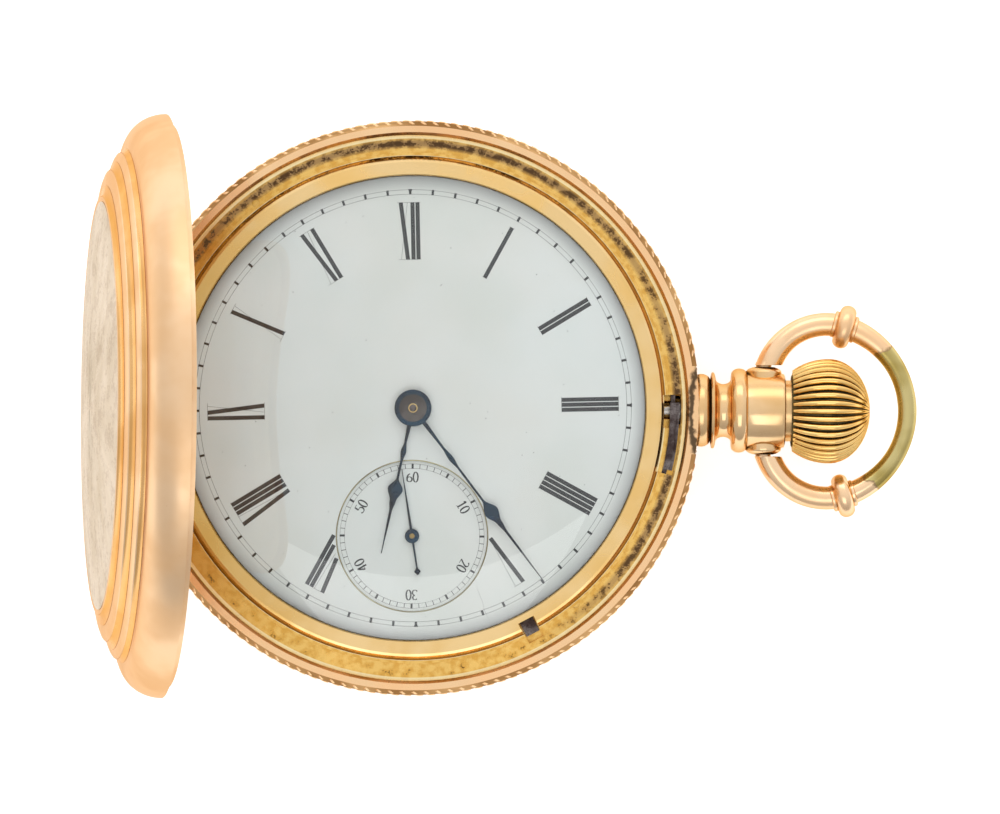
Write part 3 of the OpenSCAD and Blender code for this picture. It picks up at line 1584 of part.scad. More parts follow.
case_centre();
pendant();
bezel();
crystal();
front_cover();
hinge_pin(hinge_x, rim_front_z, hinge_l, hinge_pin_r);  // front_hinge_pin
back_cover();
hinge_pin(hinge_x, rim_back_z, hinge_l, hinge_pin_r);  // back_hinge_pin
cuvette();
cuvette_hinge_pin();
push_sleeve();
crown();
winding_stem();
bow();
lock_spring();
lift_spring();
spring_screws();
dial();
seconds_dial();
dial_pins();
hour_hand();
minute_hand();
second_hand();
cannon_pinion();
minute_wheel();
hour_wheel();
pillar_plate();
top_plate();
barrel_bridge();
pillars();
plate_screws();
barrel();
barrel_arbor();
mainspring();
centre_wheel();
third_wheel();
fourth_wheel();
escape_wheel();
pallet_fork();
pallet_stones();
balance_wheel();
balance_staff();
roller();
impulse_jewel();
hairspring();
balance_cock();
cock_screws();
regulator();
cap_jewel();
potence();
plate_jewels();
winding_pinion();
crown_wheel();
setting_wheel();
winding_yoke();
ratchet_wheel();
click();
click_spring();
setting_lever();
case_screws();
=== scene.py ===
"""Looks of a full hunter pocket watch, lying on its back with its front cover sprung open."""

from __future__ import annotations

import json
import logging
import math
from contextlib import contextmanager
from dataclasses import dataclass, field
from enum import Enum
from functools import reduce
from typing import Callable, Iterable, Iterator, Sequence

import bmesh
import bpy
from mathutils import Matrix, Vector


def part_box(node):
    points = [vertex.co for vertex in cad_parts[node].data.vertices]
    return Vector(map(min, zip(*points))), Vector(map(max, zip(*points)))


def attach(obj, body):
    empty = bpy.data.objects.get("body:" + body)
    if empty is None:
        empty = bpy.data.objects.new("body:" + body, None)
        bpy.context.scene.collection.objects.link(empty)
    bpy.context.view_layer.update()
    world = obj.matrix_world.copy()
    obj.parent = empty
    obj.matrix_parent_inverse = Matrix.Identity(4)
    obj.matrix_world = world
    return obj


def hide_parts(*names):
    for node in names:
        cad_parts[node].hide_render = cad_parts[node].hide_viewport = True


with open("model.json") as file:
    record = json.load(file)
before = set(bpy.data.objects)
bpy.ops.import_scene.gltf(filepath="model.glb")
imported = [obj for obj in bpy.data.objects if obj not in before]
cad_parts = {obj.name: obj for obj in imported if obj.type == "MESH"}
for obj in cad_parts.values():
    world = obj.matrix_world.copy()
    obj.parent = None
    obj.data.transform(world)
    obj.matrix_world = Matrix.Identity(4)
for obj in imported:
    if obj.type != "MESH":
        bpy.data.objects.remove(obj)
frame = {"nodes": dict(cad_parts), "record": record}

LOG = logging.getLogger("pocket_watch")
MM = 0.001
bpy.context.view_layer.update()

Point = tuple[float, float, float]
Pair = tuple[float, float]
Colour = tuple[float, float, float, float]
Socket = bpy.types.NodeSocket
Sockets = dict[str, Socket]


class Slot(Enum):
    """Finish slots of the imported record."""

    GOLD = "gold"
    PALE_GOLD = "pale_gold"
    BOW_GOLD = "bow_gold"
    STEEL = "steel"
    BLUED = "blued_steel"
    GILT = "gilt"
    ENAMEL = "enamel"
    GLASS = "glass"
    RUBY = "ruby"


class Body(Enum):
    """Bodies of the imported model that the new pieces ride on."""

    CASE = "case"
    FRONT_COVER = "front_cover"
    BACK_COVER = "back_cover"
    CROWN = "crown"
    BOW = "bow"
    MINUTES = "minutes"
    HOURS = "hours"
    SECONDS = "seconds"
    BALANCE = "balance"


def srgb(*parts: int) -> Colour:
    """Linear colour for a shader, from red, green and blue of 0 to 255 as a screen shows them."""
    shares = [part / 255 for part in parts]
    return (*(s / 12.92 if s <= 0.04045 else ((s + 0.055) / 1.055) ** 2.4 for s in shares), 1.0)


def node_box(node: str) -> tuple[Vector, Vector]:
    """Lowest and highest corners of a CAD node at rest, in millimetres."""
    low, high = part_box(node)
    return Vector(low) / MM, Vector(high) / MM


# Node trees


class Tree:
    """A node tree with short ways to add nodes and join them."""

    def __init__(self, tree: bpy.types.NodeTree) -> None:
        """Keeps the tree to build in."""
        self.tree = tree

    def add(self, kind: str, values: dict[str | int, object] | None = None,
            **settings: object) -> bpy.types.Node:
        """Adds a node.

        Args:
            kind: The node's type name.
            values: Input values or sockets to join, by input name or number.
            settings: Properties of the node itself.

        Returns:
            The new node.
        """
        node = self.tree.nodes.new(kind)
        for key, value in settings.items():
            setattr(node, key, value)
        for key, value in (values or {}).items():
            self.feed(node.inputs[key], value)
        return node

    def feed(self, socket: Socket, value: object) -> None:
        """Joins a socket to another one, or gives it a plain value.

        Args:
            socket: The socket to feed.
            value: The other socket, or the value.
        """
        if isinstance(value, Socket):
            self.tree.links.new(value, socket)
        else:
            socket.default_value = value

    def math(self, operation: str, *values: object, clamp: bool = False) -> Socket:
        """Adds a math node for one to three values or sockets."""
        return self.add("ShaderNodeMath", dict(enumerate(values)), operation=operation, use_clamp=clamp).outputs[0]

    def times(self, *values: object) -> Socket:
        """Product of two or more values or sockets."""
        return reduce(lambda first, second: self.math("MULTIPLY", first, second), values)

    def ramp(self, value: object, low: object, high: object) -> Socket:
        """Straight ramp from 0 at the low value to 1 at the high one."""
        return self.add("ShaderNodeMapRange", {"Value": value, "From Min": low, "From Max": high}).outputs[0]

    def smooth(self, value: object, low: float, high: float, out_low: float = 0.0, out_high: float = 1.0) -> Socket:
        """Smooth step from one result at the low value to another at the high one."""
        values = {"Value": value, "From Min": low, "From Max": high, "To Min": out_low, "To Max": out_high}
        return self.add("ShaderNodeMapRange", values, interpolation_type="SMOOTHSTEP").outputs[0]

    def window(self, value: object, rise: Pair, fall: Pair) -> Socket:
        """Mask that goes up from 0 to 1 over the rise and down again over the fall."""
        return self.times(self.smooth(value, *rise), self.smooth(value, *fall, 1.0, 0.0))

    def mix(self, factor: object, first: object, second: object) -> Socket:
        """Mix of two colours, with the second one's share as its factor."""
        return self.add("ShaderNodeMix", {0: factor, 6: first, 7: second}, data_type="RGBA").outputs[2]

    def noise(self, place: Socket, scale: object, detail: float = 2.0, roughness: float = 0.5) -> Socket:
        """Value of a noise texture, with its scale per metre."""
        values = {"Vector": place, "Scale": scale, "Detail": detail, "Roughness": roughness}
        return self.add("ShaderNodeTexNoise", values).outputs[0]

    def bump(self, height: Socket, strength: object, distance: float) -> Socket:
        """Normal of a surface with these heights, whose distance is in metres."""
        return self.add("ShaderNodeBump", {"Height": height, "Strength": strength, "Distance": distance}).outputs[0]

    def length(self, vector: Socket) -> Socket:
        """Length of a vector."""
        return self.add("ShaderNodeVectorMath", {0: vector}, operation="LENGTH").outputs["Value"]

    def polar(self, place: Socket) -> tuple[Socket, Socket, Socket]:
        """Turns a place into radius, angle and height round the Z axis.

        Args:
            place: The place's coordinates.

        Returns:
            The sockets of the three values.
        """
        x, y, z = self.add("ShaderNodeSeparateXYZ", {0: place}).outputs
        flat = self.add("ShaderNodeCombineXYZ", {0: x, 1: y})
        return self.length(flat.outputs[0]), self.math("ARCTAN2", y, x), z

    def facing(self, angle: Socket, degrees: float) -> Socket:
        """Cosine of the turn from an angle to one given in degrees, 1 where they agree."""
        return self.math("COSINE", self.math("SUBTRACT", angle, math.radians(degrees)))


class Kind(Enum):
    """Types of the sockets of node groups."""

    FLOAT = "NodeSocketFloat"
    INT = "NodeSocketInt"
    VECTOR = "NodeSocketVector"
    GEOMETRY = "NodeSocketGeometry"
    MATERIAL = "NodeSocketMaterial"


KIND_OF = {float: Kind.FLOAT, int: Kind.INT, tuple: Kind.VECTOR}
Build = Callable[[Tree, Sockets], Sockets]


def node_group(family: str, name: str, inputs: dict[str, object], outputs: dict[str, Kind],
               build: Build) -> bpy.types.NodeTree:
    """Builds a node group once, with named inputs and outputs.

    Args:
        family: Type of the tree.
        name: Name of the group.
        inputs: Default of each input by name, or its kind where it has none.
        outputs: Kind of each output by name.
        build: Function that adds the nodes and returns the socket for each output's name.

    Returns:
        The group's tree.
    """
    tree = bpy.data.node_groups.new(name, family)
    for label, given in inputs.items():
        kind = given if isinstance(given, Kind) else KIND_OF[type(given)]
        socket = tree.interface.new_socket(label, in_out="INPUT", socket_type=kind.value)
        if kind is not given:
            socket.default_value = given
    for label, kind in outputs.items():
        tree.interface.new_socket(label, in_out="OUTPUT", socket_type=kind.value)
    nodes = Tree(tree)
    entry = {socket.name: socket for socket in nodes.add("NodeGroupInput").outputs if socket.name}
    leave = nodes.add("NodeGroupOutput")
    for label, socket in build(nodes, entry).items():
        nodes.feed(leave.inputs[label], socket)
    return tree


# Finishes


def build_age(nodes: Tree, given: Sockets) -> Sockets:
    """Soft uneven tone, small dark spots and hairline scratches of an old surface.

    Args:
        nodes: The group's tree.
        given: The group's inputs by name.

    Returns:
        The sockets for Tone, Spots and Normal.
    """
    place, scale = given["Vector"], given["Scale"]
    tone = nodes.noise(place, scale, 3.0)
    fine = nodes.noise(place, nodes.times(scale, given["Spot Ratio"]), 4.0, 0.7)
    low = nodes.math("SUBTRACT", 0.74, nodes.times(given["Spots"], 0.34))
    stretch = nodes.add("ShaderNodeMapping", {"Vector": place, "Rotation": (0.4, 0.3, 0.9),
                                              "Scale": (1.0, 14.0, 3.0)})
    lines = nodes.noise(stretch.outputs[0], nodes.times(scale, 3.0), 6.0)
    return {"Tone": nodes.smooth(tone, 0.35, 0.68), "Spots": nodes.ramp(fine, low, nodes.math("ADD", low, 0.06)),
            "Normal": nodes.bump(lines, given["Scratches"], 0.02 * MM)}


def build_zone(nodes: Tree, given: Sockets) -> Sockets:
    """Mask of a ring round the middle of the watch, between two radii and above a height.

    Args:
        nodes: The group's tree.
        given: The group's inputs by name.

    Returns:
        The sockets for Mask and for the Angle round the middle.
    """
    radius, angle, z = nodes.polar(given["Vector"])

    def above(value: object, limit: object) -> Socket:
        """Soft step where value passes limit."""
        share = nodes.math("DIVIDE", nodes.math("SUBTRACT", value, limit), given["Soft"])
        return nodes.math("ADD", share, 0.5, clamp=True)

    return {"Mask": nodes.times(above(radius, given["Inner"]), above(given["Outer"], radius),
                                above(z, given["Low"])), "Angle": angle}


def build_grime_and_shade(nodes: Tree, given: Sockets) -> Sockets:
    """Corners and grooves darkened by ambient occlusion: painted shade that stands for grimy corners too, broken up by
    fine noise.

    Args:
        nodes: The group's tree.
        given: The group's inputs by name.

    Returns:
        The socket for Mask.
    """
    # painted shade: ambient occlusion darkens where shade falls in corners and grooves
    shade = nodes.add("ShaderNodeAmbientOcclusion", {"Distance": given["Reach"]}, samples=6)
    closed = nodes.math("SUBTRACT", 1.0, shade.outputs["AO"])
    noise = nodes.math("SUBTRACT", nodes.noise(given["Vector"], 900.0, 4.0), 0.5)
    broken = nodes.math("MULTIPLY_ADD", noise, 0.5, closed)
    mask = nodes.ramp(broken, given["Start"], nodes.math("ADD", given["Start"], 0.3))
    return {"Mask": nodes.times(mask, given["Amount"])}


def build_tarnish(nodes: Tree, given: Sockets) -> Sockets:
    """Fine dark grains that crowd together in patches.

    Args:
        nodes: The group's tree.
        given: The group's inputs by name.

    Returns:
        The sockets for Mask and for Patch.
    """
    patch = nodes.noise(given["Vector"], given["Patch Scale"], 3.0)
    grain = nodes.noise(given["Vector"], given["Grain Scale"], 4.0, 0.65)
    crowd = nodes.times(nodes.math("SUBTRACT", patch, 0.5), 1.1)
    more = nodes.times(nodes.math("SUBTRACT", given["Amount"], 0.5), 0.36)
    level = nodes.math("ADD", grain, nodes.math("ADD", crowd, more))
    return {"Mask": nodes.smooth(level, 0.53, 0.62), "Patch": nodes.smooth(patch, 0.36, 0.64)}


def shader_group(name: str, build: Build, outputs: dict[str, Kind], **inputs: float) -> bpy.types.NodeTree:
    """A shader group that reads coordinates, with its other inputs' defaults by name and _ for a space."""
    given = {"Vector": Kind.VECTOR} | {label.replace("_", " "): value for label, value in inputs.items()}
    return node_group("ShaderNodeTree", name, given, outputs, build)


class Groups:
    """Shader node groups that the finishes share, each built once."""

    def __init__(self) -> None:
        """Builds the groups."""
        mask = {"Mask": Kind.FLOAT}
        self.age = shader_group("aged_surface", build_age,
                                {"Tone": Kind.FLOAT, "Spots": Kind.FLOAT, "Normal": Kind.VECTOR},
                                Scale=150.0, Spot_Ratio=12.0, Spots=0.0, Scratches=0.1)
        self.zone = shader_group("ring_zone", build_zone, mask | {"Angle": Kind.FLOAT},
                                 Inner=0.0, Outer=0.02, Low=0.0, Soft=0.0002)
        self.grime = shader_group("corner_grime", build_grime_and_shade, mask, Reach=0.0006, Start=0.45, Amount=1.0)
        self.tarnish = shader_group("grainy_tarnish", build_tarnish, mask | {"Patch": Kind.FLOAT},
                                    Patch_Scale=260.0, Grain_Scale=3800.0, Amount=0.5)


GROUPS = Groups()
FAR = 1000.0


class Coat:
    """One material in the making: its tree, its object coordinates and its Principled shader."""

    def __init__(self, name: str) -> None:
        """Starts a material with a Principled shader.

        Args:
            name: Name of the material.
        """
        self.material = bpy.data.materials.new(name)
        self.material.use_nodes = True
        tree = self.material.node_tree
        tree.nodes.clear()
        self.nodes = Tree(tree)
        self.place = self.nodes.add("ShaderNodeTexCoord").outputs["Object"]
        self.shader = self.nodes.add("ShaderNodeBsdfPrincipled")
        self.output = self.nodes.add("ShaderNodeOutputMaterial", {"Surface": self.shader.outputs[0]})

    def group(self, tree: bpy.types.NodeTree, **values: object) -> bpy.types.Node:
        """Places one of the shared groups, fed with the object coordinates.

        Args:
            tree: The group.
            values: Input values or sockets by name, with _ for a space.

        Returns:
            The group's node.
        """
        node = self.nodes.add("ShaderNodeGroup", node_tree=tree)
        for key, value in {"Vector": self.place, **values}.items():
            self.nodes.feed(node.inputs[key.replace("_", " ")], value)
        return node

    def zone(self, inner: float, outer: float, soft: float, low: float = 0.0) -> Socket:
        """Mask of a ring between two radii and above a height, all in millimetres."""
        return self.group(GROUPS.zone, Inner=inner * MM, Outer=outer * MM, Low=low * MM, Soft=soft * MM).outputs[0]

    def angle(self) -> Socket:
        """Angle round the middle of the watch, in radians."""
        return self.group(GROUPS.zone).outputs["Angle"]

    def set(self, **values: object) -> None:
        """Sets the shader's own sockets, with _ for the spaces in their names."""
        for key, value in values.items():
            self.nodes.feed(self.shader.inputs[key.replace("_", " ")], value)

    def fed(self, name: str) -> Socket:
        """The socket that feeds one of the shader's own."""
        return self.shader.inputs[name].links[0].from_socket


@dataclass(frozen=True)
class Aged:
    """An aged surface: two tones that drift into each other, dark spots and fine scratches."""

    name: str
    colour: Colour
    shade: Colour
    # colour of the spots; in a metal also the colour of the painted shade in its corners
    dirt: Colour = srgb(58, 44, 30)
    rough: Pair = (0.12, 0.26)
    scale: float = 160.0
    spots: float = 0.15
    spot_ratio: float = 12.0
    spot_share: float = 0.0
    scratches: float = 0.12

    def coat(self) -> Coat:
        """Builds the finish and returns it open, for one that adds more to it.

        Returns:
            The material in the making.
        """
        coat = Coat(self.name)
        nodes = coat.nodes
        age = coat.group(GROUPS.age, Scale=self.scale, Spot_Ratio=self.spot_ratio, Spots=self.spots,
                         Scratches=self.scratches)
        tone, spots, normal = age.outputs
        colour = nodes.mix(tone, self.colour, self.shade)
        if self.spot_share:
            colour = nodes.mix(nodes.times(spots, self.spot_share), colour, self.dirt)
        coat.set(Base_Color=colour, Roughness=nodes.smooth(tone, 0.0, 1.0, *self.rough), Normal=normal)
        return coat

    def material(self) -> bpy.types.Material:
        """The finished material."""
        return self.coat().material


@dataclass(frozen=True)
class Metal(Aged):
    """An old polished or satin metal, darker in its corners with painted shade that stands for grimy corners too."""

    spot_share: float = 0.7
    edge: Colour = srgb(246, 216, 176)
    grime: float = 0.8
    grime_start: float = 0.45
    reach: float = 0.0006

    def coat(self) -> Coat:
        """Builds the finish and returns it open, for one that adds more to it.

        Returns:
            The material in the making.
        """
        coat = super().coat()
        nodes = coat.nodes
        # painted shade in corners from ambient occlusion, in the spot colour
        grime = coat.group(GROUPS.grime, Reach=self.reach, Start=self.grime_start, Amount=self.grime).outputs[0]
        coat.set(Base_Color=nodes.mix(grime, coat.fed("Base Color"), self.dirt),
                 Roughness=nodes.math("MAXIMUM", coat.fed("Roughness"), nodes.times(grime, 0.6)),
                 Metallic=1.0, Specular_Tint=self.edge)
        return coat


ROSE = srgb(248, 208, 160)
ROSE_DEEP = srgb(243, 196, 146)
YELLOW = srgb(240, 196, 112)
YELLOW_DEEP = srgb(222, 170, 82)
PALE = srgb(250, 212, 148)
TARNISH = srgb(62, 44, 30)


@dataclass(frozen=True)
class CaseGold:
    """The case centre's gold: rosy outside and on the lip, yellow and tarnished in the channel, with painted
    highlights on the channel's edges, painted shade towards the hinge and a painted shadow at the pendant's foot.
    """

    base: Metal = Metal("case_gold", ROSE, ROSE_DEEP, rough=(0.16, 0.28), spots=0.03, grime=0.6)
    lip_in: float = 26.65
    ridge_in: float = 24.65
    channel_in: float = 24.95
    channel_z: float = 11.0
    heavy_at: Pair = (92.0, 118.0)
    pendant_at: Pair = (-10.0, 55.0)
    hinge_at: Pair = (180.0, 75.0)
    mouth_x: float = 28.2
    mouth: Pair = (1.05, 4.1)
    shadowed: Colour = srgb(176, 134, 54)
    brown: Colour = srgb(150, 118, 82)
    # colour of the painted highlight on the channel's edges
    bright: Colour = srgb(252, 240, 196)
    # colour of the painted shadow at the pendant's foot
    dirt: Colour = srgb(52, 42, 32)

    def near(self, nodes: Tree, angle: Socket, middle: float, spread: float) -> Socket:
        """Soft mask round the watch, strongest at one angle and gone at a spread from it, both in degrees."""
        return nodes.smooth(nodes.facing(angle, middle), math.cos(math.radians(spread)), 1.0)

    def mouth_dirt(self, coat: Coat, patch: Socket) -> Socket:
        """Ragged ring of painted shadow, partly grimy, where the pendant stands on the case.

        Args:
            coat: The material in the making.
            patch: Socket of the tarnish's patches, which make it ragged.

        Returns:
            The mask's socket.
        """
        nodes = coat.nodes
        wide, long = self.mouth
        shrunk = nodes.add("ShaderNodeMapping", {
            "Vector": coat.place, "Location": (-self.mouth_x / wide * MM, 0, 0), "Scale": (1 / wide, 1 / long, 0.0)})
        ragged = nodes.math("MULTIPLY_ADD", patch, -0.2 * MM, nodes.length(shrunk.outputs[0]))
        return nodes.times(nodes.window(ragged, (0.62 * MM, 0.85 * MM), (1.0 * MM, 1.35 * MM)), 0.9)

    def material(self) -> bpy.types.Material:
        """Builds the finish.

        Returns:
            The material.
        """
        coat = self.base.coat()
        nodes = coat.nodes
        angle = coat.angle()
        plain, rough = coat.fed("Base Color"), coat.fed("Roughness")
        heavy = nodes.math("MAXIMUM", self.near(nodes, angle, *self.heavy_at),
                           self.near(nodes, angle, *self.pendant_at))
        grain, patch = coat.group(GROUPS.tarnish, Patch_Scale=1300.0, Grain_Scale=6500.0,
                                  Amount=nodes.math("MULTIPLY_ADD", heavy, 0.62, 0.12)).outputs
        shadow = nodes.times(self.near(nodes, angle, *self.hinge_at), 0.6)
        yellow = nodes.mix(shadow, nodes.mix(patch, YELLOW, YELLOW_DEEP), self.shadowed)
        middle = coat.zone(self.channel_in + 0.55, self.lip_in - 0.42, 0.4, self.channel_z - 0.3)
        haze = nodes.times(middle, heavy, nodes.math("MULTIPLY_ADD", patch, 0.15, 0.85))
        grains = nodes.times(middle, grain, 0.8)
        spotted = nodes.mix(grains, nodes.mix(haze, yellow, self.brown), TARNISH)
        # painted highlight: pale lines along the channel's ridge and the lip's inner wall
        seam = coat.zone(self.ridge_in - 0.6, self.ridge_in + 0.04, 0.05, self.channel_z - 0.8)
        wall = coat.zone(self.lip_in - 0.3, self.lip_in + 0.04, 0.05)
        channel = nodes.mix(nodes.times(nodes.math("MAXIMUM", seam, wall), 0.65), spotted, self.bright)
        both = nodes.mix(coat.zone(0.0, self.lip_in + 0.05, 0.06), plain, channel)
        # painted shadow, partly grimy, round the pendant's foot
        coat.set(Base_Color=nodes.mix(self.mouth_dirt(coat, patch), both, self.dirt),
                 Roughness=nodes.math("MAXIMUM", rough, nodes.times(grains, 0.6)))
        return coat.material


@dataclass(frozen=True)
class BezelGold:
    """The bezel's paler gold, with painted shade in the seam round the dial and towards the hinge, and grimy towards
    the channel.
    """

    base: Metal = Metal("bezel_gold", srgb(240, 206, 148), srgb(230, 190, 120), rough=(0.18, 0.3), spots=0.05,
                        grime=0.3)
    inner: float = 22.6
    outer: float = 24.4
    heavy_at: float = 96.0
    shadow_at: float = 185.0
    shadowed: Colour = srgb(186, 146, 66)
    # colour of the painted shade in the gap round the dial
    dark: Colour = srgb(40, 28, 20)

    def material(self) -> bpy.types.Material:
        """Builds the finish.

        Returns:
            The material.
        """
        coat = self.base.coat()
        nodes = coat.nodes
        angle = coat.angle()
        beside = nodes.smooth(nodes.facing(angle, self.shadow_at), 0.35, 0.9, 0.0, 0.65)
        gold = nodes.mix(beside, coat.fed("Base Color"), self.shadowed)
        grain = coat.group(GROUPS.tarnish, Amount=0.6, Patch_Scale=420.0).outputs["Mask"]
        top = nodes.smooth(nodes.facing(angle, self.heavy_at), 0.55, 1.0, 0.1, 0.9)
        edge = coat.zone(self.outer - 0.12, FAR, 0.3)
        grimy = nodes.mix(nodes.times(edge, grain, top), gold, TARNISH)
        # painted shade: a near-black line in the gap between the bezel and the dial
        seam = coat.zone(0.0, self.inner + 0.1, 0.03)
        coat.set(Base_Color=nodes.mix(nodes.times(seam, 0.9), grimy, self.dark))
        return coat.material


@dataclass(frozen=True)
class FrostGold:
    """Engine-turned gold, frosted by its fine cuts and specked with dirt."""

    base: Metal = Metal("engine_turned_gold", srgb(219, 204, 183), srgb(209, 193, 170), edge=srgb(242, 236, 230),
                        rough=(0.42, 0.52), spots=0.0, grime=0.3)
    specks: Colour = srgb(150, 122, 96)

    def material(self) -> bpy.types.Material:
        """Builds the finish.

        Returns:
            The material.
        """
        coat = self.base.coat()
        nodes = coat.nodes
        grain = coat.group(GROUPS.tarnish, Patch_Scale=500.0, Grain_Scale=2600.0, Amount=0.5).outputs["Mask"]
        coat.set(Base_Color=nodes.mix(nodes.times(grain, 0.25), coat.fed("Base Color"), self.specks),
                 Normal=nodes.bump(nodes.noise(coat.place, 6000.0, 3.0), 0.5, 0.03 * MM))
        return coat.material


@dataclass(frozen=True)
class BowGold:
    """The bow's gold plate, rubbed through to the white metal where it wore against its chain."""

    base: Metal = Metal("bow_gold", srgb(246, 210, 170), srgb(238, 196, 150), rough=(0.2, 0.34), spots=0.03,
                        grime=0.5)
    centre_x: float = 39.8
    worn: Pair = (-54.0, 43.0)
    white: Colour = srgb(202, 186, 128)
    green: Colour = srgb(170, 150, 84)
    rim: Colour = srgb(120, 100, 58)

    def material(self) -> bpy.types.Material:
        """Builds the finish.

        Returns:
            The material.
        """
        coat = self.base.coat()
        nodes = coat.nodes
        first, last = self.worn
        shift = nodes.add("ShaderNodeMapping", {"Vector": coat.place, "Location": (-self.centre_x * MM, 0, 0)})
        even = nodes.math("DEGREES", nodes.polar(shift.outputs[0])[1])
        ragged = nodes.math("SUBTRACT", nodes.noise(coat.place, 650.0, 5.0), 0.5)
        angle = nodes.math("MULTIPLY_ADD", ragged, 22.0, even)
        rim = nodes.window(angle, (first - 2.5, first), (last + 1.0, last + 3.5))
        edge = nodes.mix(nodes.times(rim, 0.75), coat.fed("Base Color"), self.rim)
        bare = nodes.mix(nodes.smooth(nodes.noise(coat.place, 240.0), 0.38, 0.62), self.white, self.green)
        rubbed = nodes.window(angle, (first, first + 1.2), (last, last + 1.2))
        coat.set(Base_Color=nodes.mix(rubbed, edge, bare))
        return coat.material


@dataclass(frozen=True)
class Gilt(Metal):
    """Frosted gilding on the plates, or damaskeened with fine turned stripes."""

    rough: Pair = (0.3, 0.42)
    scratches: float = 0.3
    grime: float = 0.5
    stripes: bool = False

    def material(self) -> bpy.types.Material:
        """Builds the finish.

        Returns:
            The material.
        """
        coat = self.coat()
        nodes = coat.nodes
        height = nodes.noise(coat.place, 5200.0)
        if self.stripes:
            turn = nodes.add("ShaderNodeMapping", {"Vector": coat.place, "Rotation": (0, 0, math.radians(38))})
            wave = nodes.add("ShaderNodeTexWave", {"Vector": turn.outputs[0], "Scale": 95.0, "Distortion": 0.0},
                             wave_profile="SAW")
            height = nodes.math("MULTIPLY_ADD", height, 0.25, wave.outputs["Fac"])
        coat.set(Normal=nodes.bump(height, 0.35, 0.04 * MM))
        return coat.material


@dataclass(frozen=True)
class Enamel(Aged):
    """White fired enamel, cool and slightly uneven, with painted shade at its edge, where a real dial's enamel falls
    away.
    """

    name: str = "white_enamel"
    colour: Colour = srgb(226, 230, 228)
    shade: Colour = srgb(223, 224, 219)
    dirt: Colour = srgb(150, 146, 138)
    rough: Pair = (0.16, 0.24)
    scale: float = 60.0
    spots: float = 0.02
    spot_ratio: float = 40.0
    spot_share: float = 0.35
    scratches: float = 0.02
    # colour of the painted shade at the dial's edge
    margin: Colour = srgb(176, 178, 178)
    edge: Pair = (21.3, 22.7)

    def material(self) -> bpy.types.Material:
        """Builds the finish.

        Returns:
            The material.
        """
        coat = self.coat()
        inner, outer = self.edge
        # painted shade in a band round the dial's edge
        fall = coat.nodes.times(coat.zone((inner + outer) / 2, FAR, outer - inner), 0.9)
        coat.set(Base_Color=coat.nodes.mix(fall, coat.fed("Base Color"), self.margin), Coat_Weight=0.5,
                 Coat_Roughness=0.05)
        return coat.material


@dataclass(frozen=True)
class Print(Aged):
    """Fired black print on the dial, thin in places."""

    name: str = "dial_print"
    colour: Colour = srgb(9, 10, 13)
    shade: Colour = srgb(24, 26, 30)
    rough: Pair = (0.35, 0.5)
    scale: float = 500.0
    scratches: float = 0.05


@dataclass(frozen=True)
class Blued(Aged):
    """Steel blued over a flame: navy with teal drifts."""

    name: str = "blued_steel"
    colour: Colour = srgb(8, 20, 40)
    shade: Colour = srgb(12, 50, 70)
    rough: Pair = (0.2, 0.34)
    scale: float = 260.0
    scratches: float = 0.08

    def material(self) -> bpy.types.Material:
        """Builds the finish.

        Returns:
            The material.
        """
        coat = self.coat()
        coat.set(Metallic=1.0)
        return coat.material


@dataclass(frozen=True)
class Jewel(Aged):
    """Polished ruby, a little cloudy inside."""

    name: str = "ruby"
    colour: Colour = srgb(176, 26, 62)
    shade: Colour = srgb(120, 14, 44)
    rough: Pair = (0.06, 0.12)
    scale: float = 900.0
    scratches: float = 0.02

    def material(self) -> bpy.types.Material:
        """Builds the finish.

        Returns:
            The material.
        """
        coat = self.coat()
        coat.set(Coat_Weight=0.6, IOR=1.76)
        return coat.material


@dataclass(frozen=True)
class Crystal:
    """Clear mineral glass with a few hairline scratches. Lamps shine through it."""

    name: str = "crystal_glass"
    clear: Colour = srgb(252, 254, 254)
    tinted: Colour = srgb(248, 252, 252)

    def material(self) -> bpy.types.Material:
        """Builds the finish.

        Returns:
            The material.
        """
        coat = Coat(self.name)
        nodes = coat.nodes
        tone, _, normal = coat.group(GROUPS.age, Scale=120.0, Scratches=0.012).outputs
        coat.set(Base_Color=nodes.mix(tone, self.clear, self.tinted), Roughness=0.0, IOR=1.46,
                 Transmission_Weight=1.0, Normal=normal)
        path = nodes.add("ShaderNodeLightPath")
        through = nodes.add("ShaderNodeBsdfTransparent")
        both = nodes.add("ShaderNodeMixShader", {0: path.outputs["Is Shadow Ray"], 1: coat.shader.outputs[0],
                                                 2: through.outputs[0]})
        nodes.feed(coat.output.inputs["Surface"], both.outputs[0])
        return coat.material


